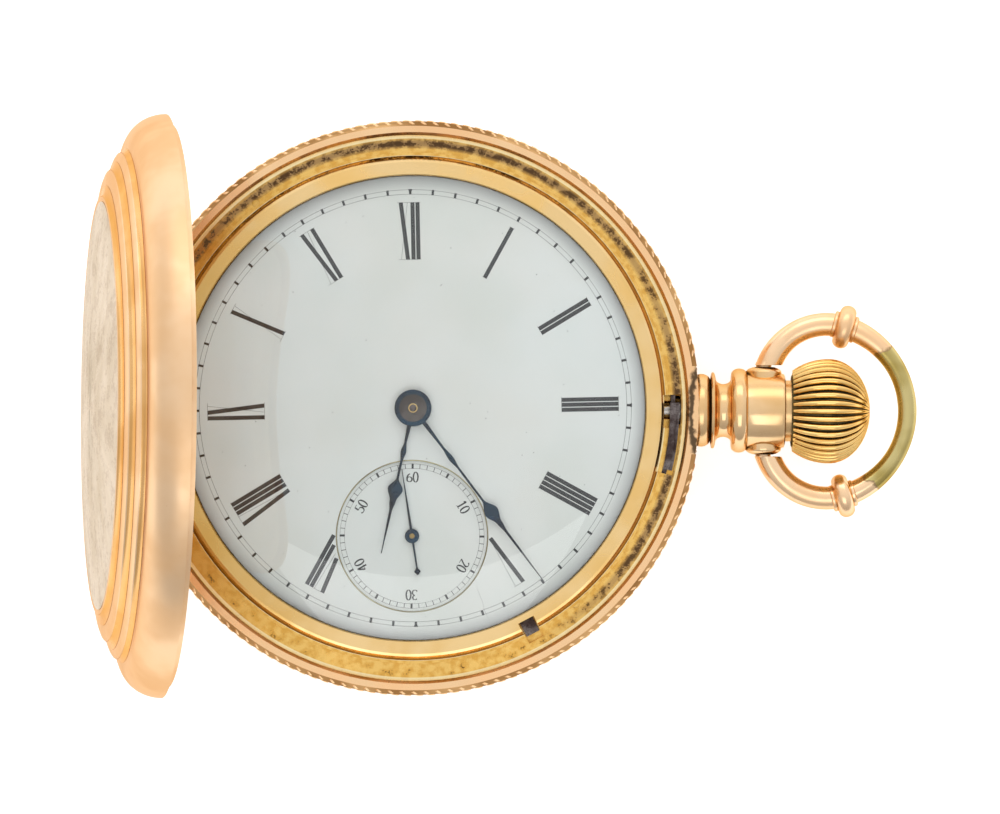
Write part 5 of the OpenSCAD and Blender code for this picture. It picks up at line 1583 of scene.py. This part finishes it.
@dataclass
class Pendant(Assembly):
    """The pendant with its bead, disc, groove, collar, barrel and bow sockets."""

    start: float = 27.3
    end: float = 36.4
    stem_z: float = 8.8
    bead_r: float = 3.58
    disc_r: float = 3.75
    groove_r: float = 2.6
    collar_r: float = 4.14
    barrel_r: float = 3.66
    neck_r: float = 3.0
    bore_r: float = 2.25
    socket_x: float = 34.3
    socket_r: float = 1.75
    socket_out: float = 4.39
    socket_bore: float = 0.85

    def profile(self) -> list[Pair]:
        """The pendant's section as radius and place along the stem.

        Returns:
            Points from the case outwards, round the bore.
        """
        disc = self.start + 1.8
        bead = [(self.bead_r - 0.75 + 0.75 * math.sin(t), self.start + 0.9 - 0.9 * math.cos(t))
                for t in turns(12, 180, 18)]
        groove = [(self.groove_r + 0.55 - 0.55 * math.sin(t), disc + 1.25 - 0.75 * math.cos(t))
                  for t in turns(0, 180, 16)]
        collar = [(self.collar_r - 0.6 + 0.6 * math.sin(t), disc + 2.8 - 0.8 * math.cos(t))
                  for t in turns(0, 170, 18)]
        return [(self.bore_r + 0.05, self.start - 0.1), *bead, (3.35, disc), (self.disc_r - 0.05, disc + 0.08),
                (self.disc_r, disc + 0.2), (self.disc_r - 0.05, disc + 0.34), (self.disc_r - 0.3, disc + 0.45),
                *groove, *collar, (self.barrel_r, disc + 3.62), (self.barrel_r, self.end - 0.35),
                (self.barrel_r - 0.08, self.end - 0.1), (self.barrel_r - 0.3, self.end), (self.neck_r, self.end),
                (self.neck_r, self.end + 1.05), (self.neck_r - 0.05, self.end + 1.1),
                (self.bore_r, self.end + 1.1)]

    def build(self) -> None:
        """Makes the pendant."""
        body = lathe(self.profile(), 128).moved(along_x(0, 0, self.stem_z))
        dome = [(self.socket_r * math.sin(t), self.socket_out - 0.62 * (1 - math.cos(t))) for t in turns(88, 34, 10)]
        boss = lathe([(self.socket_bore, 3.0), (self.socket_r, 3.0), *dome,
                      (self.socket_bore, self.socket_out - 0.16)], 48)
        body.join(*(boss.moved(along_y(self.socket_x, self.stem_z, side)) for side in (-1, 1)))
        place(body.piece("pendant_dressed", 34.0), Body.CASE, Slot.GOLD, self.finishes.pendant, ["pendant"])


@dataclass
class Crown(Assembly):
    """The ribbed winding crown."""

    inner: float = 37.0
    outer: float = 44.75
    middle: float = 40.7
    radius: float = 5.14
    shoulder: float = 5.68
    hollow_r: float = 3.3
    bore_r: float = 0.95
    stem_z: float = 8.8
    ribs: int = 38
    groove: float = 0.5

    def meridian(self, x: float) -> float:
        """Radius of the crown over its ribs at a place along the stem."""
        length = self.shoulder if x < self.middle else self.outer - self.middle
        return self.radius * math.sqrt(max(0.0, 1 - ((x - self.middle) / length) ** 2))

    def rib(self) -> Form:
        """One rib, a rounded bar that narrows to the pole.

        Returns:
            The rib at the top of the crown.
        """
        rings = []
        for i, share in enumerate(turns(0, 90, 21)):
            x = self.inner + 0.12 + (self.outer - 0.14 - self.inner) * math.sin(share)
            radius = self.meridian(x)
            width = radius * math.sin(math.pi / self.ribs * 0.72)
            depth = min(self.groove, width * 2)
            if i == 0:
                width *= 0.6
                depth *= 0.5
            rings.append([(x, -width * math.cos(t), radius - depth + depth * math.sin(t)) for t in turns(0, 180, 8)])
        return loft(rings)

    def core(self) -> Form:
        """The crown's core, hollowed for the pendant's neck.

        Returns:
            The core, turned round Z.
        """
        profile: list[Pair] = [(self.bore_r, self.inner + 1.4), (self.hollow_r, self.inner + 1.4),
                               (self.hollow_r, self.inner)]
        for t in turns(0, 90, 26):
            x = self.inner + (self.outer - 0.1 - self.inner) * math.sin(t)
            cut = min(self.groove, self.meridian(x) * 0.12) - 0.04
            profile.append((max(self.meridian(x) - cut, 0.02), x))
        profile += [(0.0, self.outer - 0.12), (0.0, self.outer - 2.2), (self.bore_r, self.outer - 2.2)]
        return lathe(profile, 3 * self.ribs)

    def build(self) -> None:
        """Makes the crown's core and its ribs."""
        body = self.core().moved(along_x(0, 0, self.stem_z)).piece("crown_core")
        ribs = self.shop.repeat("crown_ribs", self.rib().moved(shift(0, 0, self.stem_z)), self.ribs,
                                (0.0, 0.0, self.stem_z), (1.0, 0.0, 0.0), sharp=50.0)
        # the core's dark finish is painted shade between the ribs, partly grimy
        place(body, Body.CROWN, Slot.GOLD, self.finishes.groove)
        place(ribs, Body.CROWN, Slot.GOLD, self.finishes.crown, ["crown"])


@dataclass
class Bow(Assembly):
    """The bow: a wire ring with a tighter curve at each side and two turned beads."""

    centre_x: float = 39.8
    pivot_x: float = 34.3
    foot_x: float = 34.8
    foot_y: float = 4.47
    ring_r: float = 8.6
    stem_z: float = 8.8
    stout: float = 1.13
    slim: float = 0.92
    curve_r: float = 6.02
    pivot_in: float = 2.87
    pivot_r: float = 0.76
    bead_angle: float = 74.0
    bead_half: Sequence[Pair] = ((1.0, 1.2), (1.18, 1.2), (1.3, 1.12), (1.32, 0.98), (1.28, 0.84), (1.42, 0.78))

    def thickness(self, x: float, y: float) -> float:
        """Radius of the wire at a point of its middle line: slim at the far end and stout at the feet.

        Args:
            x: The point's place along the stem.
            y: Its place across the stem.

        Returns:
            The wire's radius there.
        """
        angle = abs(math.degrees(math.atan2(y, x - self.centre_x)))
        share = min(1.0, max(0.0, (angle - 20) / 60))
        root = min(1.0, max(0.0, (7.4 - abs(y)) / 3)) if angle > 90 else 0.0
        return self.slim + (self.stout - self.slim) * share * share * (3 - 2 * share) + 0.12 * root

    def wire(self) -> Form:
        """The wire from one foot round to the other, flat where its feet enter the sockets.

        Returns:
            The wire.
        """
        foot = Vector((self.foot_x - self.centre_x, self.foot_y))
        gap = self.ring_r - self.curve_r
        lean = (gap ** 2 + foot.length_squared - self.curve_r ** 2) / (2 * gap * foot.length)
        join = math.atan2(foot.y, foot.x) - math.acos(lean)
        centre = (self.centre_x + gap * math.cos(join), gap * math.sin(join))
        foot_end = math.acos((self.foot_x - centre[0]) / self.curve_r)
        half = arc(centre, self.curve_r, math.degrees(foot_end) + 9, math.degrees(join), 26)
        half += arc((self.centre_x, 0), self.ring_r, math.degrees(join), 0, 60)[1:]
        path = half + [(x, -y) for x, y in half[-2::-1]]
        form = tube([Vector((x, y, self.stem_z)) for x, y in path], [self.thickness(x, y) for x, y in path], 40)
        form.points = [(x, y if abs(y) > self.foot_y or x > self.centre_x else math.copysign(self.foot_y, y), z)
                       for x, y, z in form.points]
        return form

    def bead(self) -> Form:
        """One bead, turned round Z, with a small collar on each side of it."""
        half = [*self.bead_half, *((1.45 + 0.7 * math.cos(t), 0.8 * math.sin(t)) for t in turns(75, 0, 8))]
        return lathe(half + [(r, -h) for r, h in half[-2::-1]], 56)

    def build(self) -> None:
        """Makes the bow."""
        body = self.wire()
        pivot = band(0.0, self.pivot_r, self.pivot_in, self.foot_y + 0.3, 40)
        for side in (-1, 1):
            turn = math.radians(self.bead_angle * side)
            seat = (shift(self.centre_x + self.ring_r * math.cos(turn), self.ring_r * math.sin(turn), self.stem_z)
                    @ Matrix.Rotation(turn, 4, "Z") @ Matrix.Rotation(-math.pi / 2, 4, "X"))
            body.join(self.bead().moved(seat), pivot.moved(along_y(self.pivot_x, self.stem_z, side)))
        place(body.piece("bow_dressed", 40.0), Body.BOW, Slot.BOW_GOLD, self.finishes.bow, ["bow"])


@dataclass
class Glass(Assembly):
    """The domed crystal."""

    radius: float = 22.92
    seat_z: float = 12.1
    thickness: float = 0.3
    rise: float = 1.7
    flatness: float = 5.0

    def build(self) -> None:
        """Makes the crystal."""
        inner = [(self.radius * share, self.seat_z + self.rise * (1 - share ** self.flatness))
                 for share in (math.cos(t) for t in turns(0, 90, 48))]
        inner[-1] = (0.0, inner[-1][1])
        outer = [(radius, height + self.thickness) for radius, height in inner]
        glass = lathe(outer + inner[::-1], 256).piece("crystal_dome", 60.0)
        place(glass, Body.CASE, Slot.GLASS, self.finishes.glass, ["crystal"])


class Numeral(Enum):
    """Roman numerals on the dial, by hour."""

    XII = 12
    I = 1
    II = 2
    III = 3
    IIII = 4
    V = 5
    VII = 7
    VIII = 8
    IX = 9
    X = 10
    XI = 11


@dataclass(frozen=True)
class Letter:
    """A letter of a Roman numeral: its width, its slanting strokes and half the length of its hairlines."""

    width: float
    thick: Pair
    thin: Pair | None
    half: float
    footed: bool = True


LETTERS = {"I": Letter(0.485, (0.0, 0.0), None, 0.28),
           "V": Letter(1.12, (0.16, -0.42), (0.2, 0.46), 0.62, footed=False),
           "X": Letter(1.2, (0.3, -0.3), (-0.34, 0.34), 0.62)}
DIGITS: dict[str, list[list[Pair]]] = {
    "0": [[(0.27 + 0.23 * math.sin(t), 0.5 + 0.5 * math.cos(t)) for t in turns(0, 360, 20)]],
    "1": [[(0.12, 0.8), (0.3, 1.0)], [(0.3, 1.0), (0.3, 0.0)], [(0.1, 0.0), (0.5, 0.0)]],
    "2": [arc((0.26, 0.74), 0.23, 160, -20, 9) + [(0.34, 0.42), (0.05, 0.02)], [(0.05, 0.03), (0.5, 0.03)]],
    "3": [arc((0.25, 0.76), 0.22, 150, -80, 9), arc((0.25, 0.27), 0.26, 90, -150, 10)],
    "4": [[(0.36, 0.0), (0.36, 1.0)], [(0.36, 1.0), (0.02, 0.3)], [(0.02, 0.3), (0.55, 0.3)]],
    "5": [[(0.12, 0.97), (0.46, 0.97)], [(0.12, 0.97), (0.1, 0.55)], arc((0.24, 0.3), 0.28, 120, -150, 11)],
    "6": [arc((0.48, 0.42), 0.44, 110, 190, 7), arc((0.27, 0.28), 0.25, 180, -180, 14)],
}


def ray(clockwise: float) -> tuple[Vector, Vector]:
    """Direction at a clockwise angle from the dial's top in degrees, and the one to its right."""
    turn = math.radians(90 - clockwise)
    return Vector((math.cos(turn), math.sin(turn))), Vector((math.sin(turn), -math.cos(turn)))


@dataclass
class Dial(Assembly):
    """The enamel dial's print: minute track, Roman numerals and the sunk seconds dial."""

    face_z: float = 11.6
    print_t: float = 0.012
    turn: float = 1.2
    numeral_turn: float = 1.65
    track_out: float = 21.29
    track_in: float = 20.85
    quarter: Sequence[Pair] = ((20.78, 0.0), (21.34, -0.2), (21.34, 0.2))
    numeral_low: float = 14.5
    numeral_high: float = 20.05
    stroke_w: float = 0.4
    hair_w: float = 0.035
    seconds_at: Pair = (0.0, -12.5)
    seconds_r: float = 7.4
    seconds_z: float = 11.4
    seconds_out: float = 7.04
    seconds_in: float = 6.6
    digit_h: float = 0.98
    digit_at: float = 5.75
    digit_advance: float = 0.62
    joint_r: float = 0.07
    speck_density: float = 70000.0
    crack: Sequence[Pair] = ((6.35, -16.9), (6.5, -17.9), (6.95, -18.9), (7.1, -19.7), (7.75, -20.9))
    thick: list[Form] = field(default_factory=list)
    thin: list[Form] = field(default_factory=list)

    def top(self, low: float | None = None) -> Pair:
        """Lower and upper height of the print on a face."""
        base = self.face_z if low is None else low
        return base - 0.002, base + self.print_t

    def clear_of_seconds(self, first: Vector, last: Vector) -> list[Vector]:
        """The part of a stroke that lies outside the seconds dial.

        Args:
            first: Inner end of the stroke.
            last: Outer end of the stroke.

        Returns:
            The ends that are left, or nothing.
        """
        steps = 60
        spots = [first.lerp(last, i / steps) for i in range(steps + 1)]
        free = [p for p in spots if (p - Vector(self.seconds_at)).length >= self.seconds_r + 0.22]
        return [free[0], free[-1]] if free else []

    def stroke(self, hour: int, low_u: float, high_u: float, width: float) -> None:
        """Adds a stroke of a numeral.

        Args:
            hour: The hour that the numeral stands at.
            low_u: Sideways place of its inner end, clockwise from the hour's line.
            high_u: Sideways place of its outer end.
            width: Its width.
        """
        out, side = ray(hour * 30 - self.numeral_turn)
        ends = self.clear_of_seconds(out * self.numeral_low + side * low_u, out * self.numeral_high + side * high_u)
        if ends:
            pool = self.thin if width == self.hair_w else self.thick
            pool.append(strip(ends, [width] * 2, *self.top()))

    def serif(self, hour: int, low_u: float, high_u: float, radius: float) -> None:
        """Adds a hairline across the ends of a numeral's strokes.

        Args:
            hour: The hour that the numeral stands at.
            low_u: Sideways place of its left end, clockwise from the hour's line.
            high_u: Sideways place of its right end.
            radius: Its distance from the middle of the dial.
        """
        out, side = ray(hour * 30 - self.numeral_turn)
        path = [out * radius + side * low_u, out * radius + side * high_u]
        if (path[0] - Vector(self.seconds_at)).length > self.seconds_r + 0.4:
            self.thin.append(strip(path, [self.hair_w] * 2, *self.top()))

    def numeral(self, numeral: Numeral) -> None:
        """Sets a Roman numeral with its feet towards the middle of the dial.

        Args:
            numeral: The numeral.
        """
        hour = numeral.value
        letters = [LETTERS[c] for c in numeral.name]
        at = -sum(letter.width for letter in letters) / 2
        for letter in letters:
            middle = at + letter.width / 2
            self.stroke(hour, *(middle + u for u in letter.thick), self.stroke_w)
            if letter.thin:
                self.stroke(hour, *(middle + u for u in letter.thin), self.hair_w)
            for radius in (self.numeral_low, self.numeral_high) if letter.footed else (self.numeral_high,):
                self.serif(hour, middle - letter.half, middle + letter.half, radius)
            at += letter.width

    def digits(self, text: str, angle: float) -> None:
        """Sets a number of the seconds dial with its feet towards the middle.

        Args:
            text: The number.
            angle: Clockwise angle from the top, in degrees.
        """
        out, side = ray(angle)
        for i, digit in enumerate(text):
            left = (i - len(text) / 2) * self.digit_advance + 0.04
            for path in DIGITS[digit]:
                points = [Vector(self.seconds_at) + side * (left + x) * self.digit_h
                          + out * (self.digit_at + (y - 0.5) * self.digit_h) for x, y in path]
                widths = [0.05 + 0.1 * abs(ahead.y) for ahead in headings(path)]
                self.thick.append(strip(points, widths, *self.top(self.seconds_z)))

    def lines(self) -> None:
        """Adds the quarter hours' triangles, the hairline rings of both tracks and the hairline crack."""
        for hour in (3, 6, 9, 12):
            out, side = ray(hour * 30 - self.turn)
            self.thick.append(prism([out * radius + side * across for radius, across in self.quarter], *self.top()))
        for radius in (self.track_in, self.track_out):
            self.thin.append(band(radius - 0.02, radius + 0.02, *self.top(), steps=360))
        for radius in (self.seconds_in, self.seconds_out):
            ring = band(radius - 0.017, radius + 0.017, *self.top(self.seconds_z), steps=240)
            self.thin.append(ring.moved(shift(*self.seconds_at)))
        self.thin.append(strip(self.crack, [0.012, 0.02, 0.014, 0.022, 0.012], *self.top()))

    def marks(self) -> list[bpy.types.Object]:
        """The minute and second marks, repeated round their tracks.

        Returns:
            The pieces of the minutes, the seconds and the bolder fifth seconds.
        """
        low, high = self.top()
        minute = box((self.track_in - 0.02, -0.115, low), (self.track_out + 0.06, 0.115, high))
        marks = [self.shop.repeat("minute_marks", minute, 60, start=math.radians(self.turn))]
        x, y = self.seconds_at
        low, high = self.top(self.seconds_z)
        for name, count, longer, half in (("second_marks", 60, 0.0, 0.03), ("fifth_marks", 12, 0.03, 0.1)):
            mark = box((x + self.seconds_in - longer, y - half, low), (x + self.seconds_out + longer, y + half, high))
            marks.append(self.shop.repeat(name, mark, count, (x, y, 0.0)))
        return marks

    def rim(self) -> None:
        """Makes the fine brass-coloured joint round the seconds dial."""
        profile = [(self.seconds_r + self.joint_r * math.cos(t), self.seconds_z + 0.16 + self.joint_r * math.sin(t))
                   for t in turns(0, 330, 11)]
        ring = lathe(profile, 200).moved(shift(*self.seconds_at)).piece("seconds_dial_rim")
        place(ring, Body.CASE, Slot.GILT, self.finishes.joint)

    def specks(self) -> None:
        """Strews the dark specks that the dial has gathered."""
        face = Form()
        for start in range(0, 360, 30):
            corners = arc((0, 0), 21.0, start, start + 30, 5) + arc((0, 0), 3.0, start + 30, start, 5)
            face.join(Form([(x, y, self.face_z + 0.004) for x, y in corners], [tuple(range(len(corners)))]))
        specks = self.shop.run("dial_specks", face.mesh("speck_field", None), self.shop.scatter,
                               Density=self.speck_density, Size=0.05 * MM, Seed=11)
        middle = Vector(self.seconds_at) * MM
        clear(specks, lambda spot: (spot.xy - middle).length < (self.seconds_r + 0.2) * MM, whole=False)
        place(specks, Body.CASE, Slot.ENAMEL, self.finishes.hairline)

    def build(self) -> None:
        """Makes the print, the seconds dial's rim and the specks of age."""
        for numeral in Numeral:
            self.numeral(numeral)
        for i, text in enumerate(("60", "10", "20", "30", "40", "50")):
            self.digits(text, i * 60)
        self.lines()
        print_pieces = [Form().join(*self.thick).piece("strokes")] + self.marks()
        place(joined("dial_print", print_pieces), Body.CASE, Slot.ENAMEL, self.finishes.ink)
        fine = Form().join(*self.thin).piece("dial_hairlines")
        place(fine, Body.CASE, Slot.ENAMEL, self.finishes.hairline)
        self.rim()
        self.specks()


@dataclass
class Hand:
    """A hand shaped by its half width at a few places along it, with a softly crowned top."""

    node: str
    body: Body
    angle: float
    knots: Sequence[Pair]
    hub: float
    hole: float
    centre: Pair = (0.0, 0.0)
    lift: float = 0.0
    thickness: float = 0.2
    tail: Sequence[Pair] = ()
    section: Sequence[Pair] = ((-1, 0), (-1, 0.5), (-0.5, 0.86), (0, 1), (0.5, 0.86), (1, 0.5), (1, 0))

    def half_width(self, knots: Sequence[Pair], at: float) -> float:
        """Half of the hand's width at a distance from its middle, eased between the knots.

        Args:
            knots: Distance and half width at a few places.
            at: The distance.

        Returns:
            The half width there.
        """
        for (a, wa), (b, wb) in zip(knots, knots[1:]):
            if a <= at <= b:
                share = (at - a) / (b - a)
                return wa + (wb - wa) * share * share * (3 - 2 * share)
        return knots[-1][1]

    def blade(self, knots: Sequence[Pair], direction: int, low: float) -> Form:
        """The blade along one side, with a crowned cross-section.

        Args:
            knots: Distance and half width at a few places.
            direction: 1 for the pointing side, -1 for the tail.
            low: Height of its underside.

        Returns:
            The blade, pointing up the dial.
        """
        rows = 150
        rings = []
        start, end = knots[0][0], knots[-1][0]
        for i in range(rows + 1):
            at = start + (end - start) * i / rows
            half = self.half_width(knots, at)
            rings.append([(half * across * direction, at * direction, low + self.thickness * up)
                          for across, up in self.section])
        return loft(rings)

    def build(self, finishes: Finishes) -> None:
        """Makes the hand, turned to its angle.

        Args:
            finishes: The materials.
        """
        low = node_box(self.node)[0].z + self.lift
        top = low + self.thickness
        form = self.blade(self.knots, 1, low)
        if self.tail:
            form.join(self.blade(self.tail, -1, low))
        form.join(lathe([(self.hole, low), (self.hub, low), (self.hub, top - 0.07), (self.hub - 0.05, top - 0.02),
                         (self.hub - 0.12, top), (self.hole, top)], 72))
        seat = shift(*self.centre) @ Matrix.Rotation(math.radians(-self.angle), 4, "Z")
        piece = form.moved(seat).piece(f"{self.node}_dressed", 20.0)
        place(piece, self.body, Slot.BLUED, finishes.blued, [self.node])


@dataclass
class Hands(Assembly):
    """The three hands as they stand, about 22 minutes past six, and the arbor's end between them."""

    hour: Sequence[Pair] = ((1.6, 0.2), (3.5, 0.13), (4.35, 0.27), (5.3, 0.12), (7.0, 0.12), (8.1, 0.74), (9.3, 0.3),
                            (10.3, 0.13), (14.5, 0.05))
    minute: Sequence[Pair] = ((1.6, 0.2), (4.9, 0.12), (6.15, 0.25), (7.4, 0.11), (11.3, 0.11), (12.7, 0.7),
                              (14.0, 0.26), (15.2, 0.12), (21.2, 0.045))
    second: Sequence[Pair] = ((0.5, 0.12), (6.6, 0.04))
    tail: Sequence[Pair] = ((0.5, 0.1), (3.1, 0.08), (3.2, 0.12), (3.5, 0.31), (3.78, 0.12), (3.81, 0.02))
    second_at: Pair = (0.0, -12.5)
    second_lift: float = 0.1
    tip_r: float = 0.36

    def build(self) -> None:
        """Makes the hands, and the arbor's rounded end, which shows in the middle of them."""
        low, high = node_box("second_hand")
        for hand in (Hand("hour_hand", Body.HOURS, 191.9, self.hour, 1.8, 1.45),
                     Hand("minute_hand", Body.MINUTES, 142.5, self.minute, 1.8, 1.0),
                     Hand("second_hand", Body.SECONDS, 350.9, self.second, 0.7, 0.26, self.second_at,
                          self.second_lift, high.z - low.z - self.second_lift, self.tail)):
            hand.build(self.finishes)
        top = node_box("centre_wheel")[1].z
        tip = lathe([(0.0, top - 0.1), (self.tip_r, top - 0.1), (self.tip_r, top + 0.01),
                     (self.tip_r * 0.8, top + 0.06), (self.tip_r * 0.45, top + 0.08), (0.0, top + 0.09)], 48)
        place(tip.piece("centre_arbor_tip"), Body.MINUTES, Slot.STEEL, self.finishes.dark_steel)


@dataclass
class Balance(Assembly):
    """The screws round the balance wheel's rim."""

    count: int = 14
    screw: Sequence[Pair] = ((0.0, 0.0), (0.12, 0.0), (0.12, 0.18), (0.24, 0.18), (0.24, 0.48), (0.2, 0.52),
                             (0.0, 0.52))

    def build(self) -> None:
        """Makes the screws."""
        low, high = node_box("balance_wheel")
        x, y, z = (low + high) / 2
        screw = lathe(self.screw, 14).moved(along_x(x + (high.x - low.x) / 2 - 0.16, y, z))
        ring = self.shop.repeat("balance_rim_screws", screw, self.count, (x, y, 0.0))
        place(ring, Body.BALANCE, Slot.GILT, self.finishes.gilt)


class CarriedNodes:
    """The CAD nodes that stay in sight, each with its finish."""

    BY_SLOT = {"gold": "rose", "pale_gold": "pale", "bow_gold": "bow", "blued_steel": "blued"}
    OWN = {
        "case_centre": "case", "lock_spring": "dark_steel", "setting_lever": "dark_steel", "top_plate": "plate",
        "barrel_bridge": "plate", "balance_cock": "plate", "seconds_dial": "seconds_enamel",
        "bezel": "bezel", "cuvette": "pale", "cannon_pinion": "hub_steel", "spring_screws": "case",
    }

    def dress(self, finishes: Finishes) -> None:
        """Gives every node its own material, or the one that its slot names or stands for.

        Args:
            finishes: The materials.
        """
        slots = {part["node"]: part["material_slot"] for part in frame["record"]["subparts"]}
        for name, node in frame["nodes"].items():
            slot = slots[name]
            dress(node, getattr(finishes, self.OWN.get(name, self.BY_SLOT.get(slot, slot))))
        LOG.info("%d carried nodes dressed", len(frame["nodes"]))


@dataclass
class Studio:
    """Pale floor, soft lamps, world and camera."""

    scale: float = 10.25
    distance: float = 770.0
    rim_z: float = 12.3
    case_px: Pair = (413.0, 408.0)
    image: Pair = (1000.0, 814.0)
    sensor: float = 36.0
    roll: float = 0.45
    floor_half: float = 3000.0
    floor_glow: float = 0.5

    def camera(self) -> None:
        """Sets the camera straight above, so that the case falls on its place in the frame."""
        data = bpy.data.cameras.new("camera")
        data.sensor_width = self.sensor
        data.lens = self.scale * self.distance * self.sensor / self.image[0]
        data.clip_start = 0.01
        data.clip_end = 20.0
        eye = linked("camera", data)
        x = (self.image[0] / 2 - self.case_px[0]) / self.scale
        y = (self.case_px[1] - self.image[1] / 2) / self.scale
        turn = Matrix.Rotation(math.radians(self.roll), 4, "Z")
        eye.location = turn @ Vector((x, y, self.distance + self.rim_z)) * MM
        eye.rotation_euler = turn.to_euler()
        bpy.context.scene.camera = eye

    def floor(self) -> None:
        """Makes the white floor, which keeps the watch's shadow."""
        half = self.floor_half
        piece = box((-half, -half, -2.0), (half, half, -0.02)).piece("floor")
        coat = Coat("floor_paper")
        nodes = coat.nodes
        paper = nodes.mix(nodes.noise(coat.place, 40.0), srgb(242, 242, 242), srgb(236, 236, 236))
        coat.set(Base_Color=paper, Roughness=0.9)
        path = nodes.add("ShaderNodeLightPath").outputs
        seen = nodes.math("MAXIMUM", path["Is Camera Ray"],
                          nodes.math("MAXIMUM", path["Is Glossy Ray"], path["Is Transmission Ray"]))
        glow = nodes.add("ShaderNodeEmission", {"Color": (1, 1, 1, 1), "Strength": nodes.times(seen, self.floor_glow)})
        both = nodes.add("ShaderNodeAddShader", {0: coat.shader.outputs[0], 1: glow.outputs[0]})
        nodes.feed(coat.output.inputs["Surface"], both.outputs[0])
        dress(piece, coat.material)

    def lamp(self, name: str, spot: Point, size: Pair, radiance: float, aim: Point = (0.0, 0.0, 0.01)) -> None:
        """Adds a soft rectangular lamp.

        Args:
            name: Name of the lamp.
            spot: Its place in metres.
            size: Its width and height in metres.
            radiance: Its brightness, where 1 is white.
            aim: The point that it faces.
        """
        data = bpy.data.lights.new(name, "AREA")
        data.shape = "RECTANGLE"
        data.size, data.size_y = size
        data.energy = radiance * math.pi * size[0] * size[1]
        lamp = linked(name, data)
        lamp.location = spot
        lamp.rotation_euler = (Vector(aim) - Vector(spot)).to_track_quat("-Z", "Y").to_euler()

    def world(self) -> None:
        """Makes a soft room: white where it is seen, and dimmer towards the horizon for light."""
        world = bpy.data.worlds.new("studio")
        bpy.context.scene.world = world
        world.use_nodes = True
        world.node_tree.nodes.clear()
        nodes = Tree(world.node_tree)
        way = nodes.add("ShaderNodeTexCoord").outputs["Generated"]
        _, side, height = nodes.add("ShaderNodeSeparateXYZ", {0: way}).outputs
        room = nodes.math("MULTIPLY_ADD", side, 0.33, nodes.math("MULTIPLY_ADD", height, 0.14, 0.81))
        seen = nodes.add("ShaderNodeLightPath").outputs["Is Camera Ray"]
        sky = nodes.add("ShaderNodeBackground", {"Color": (1.0, 1.0, 1.0, 1.0),
                                                 "Strength": nodes.math("MAXIMUM", room, seen)})
        nodes.add("ShaderNodeOutputWorld", {"Surface": sky.outputs[0]})

    def build(self) -> None:
        """Sets up the studio."""
        self.camera()
        self.floor()
        self.world()
        self.lamp("near_box", (0.02, -0.47, 0.8), (0.6, 0.56), 1.1, (0.02, -0.47, 0.0))
        self.lamp("far_box", (0.0, 0.9, 0.55), (1.1, 0.5), 1.1)
        bpy.context.scene.view_settings.view_transform = "Standard"


def main() -> None:
    """Builds the watch's looks in order."""
    logging.basicConfig(level=logging.INFO, format="%(message)s")
    Studio().build()
    finishes = Finishes()
    shop = Workshop()
    CarriedNodes().dress(finishes)
    for assembly in (CaseCentre, FrontCover, BackCover, Pendant, Crown, Bow, Glass, Dial, Hands, Balance):
        assembly(shop, finishes).build()


if __name__ == "__main__":
    main()
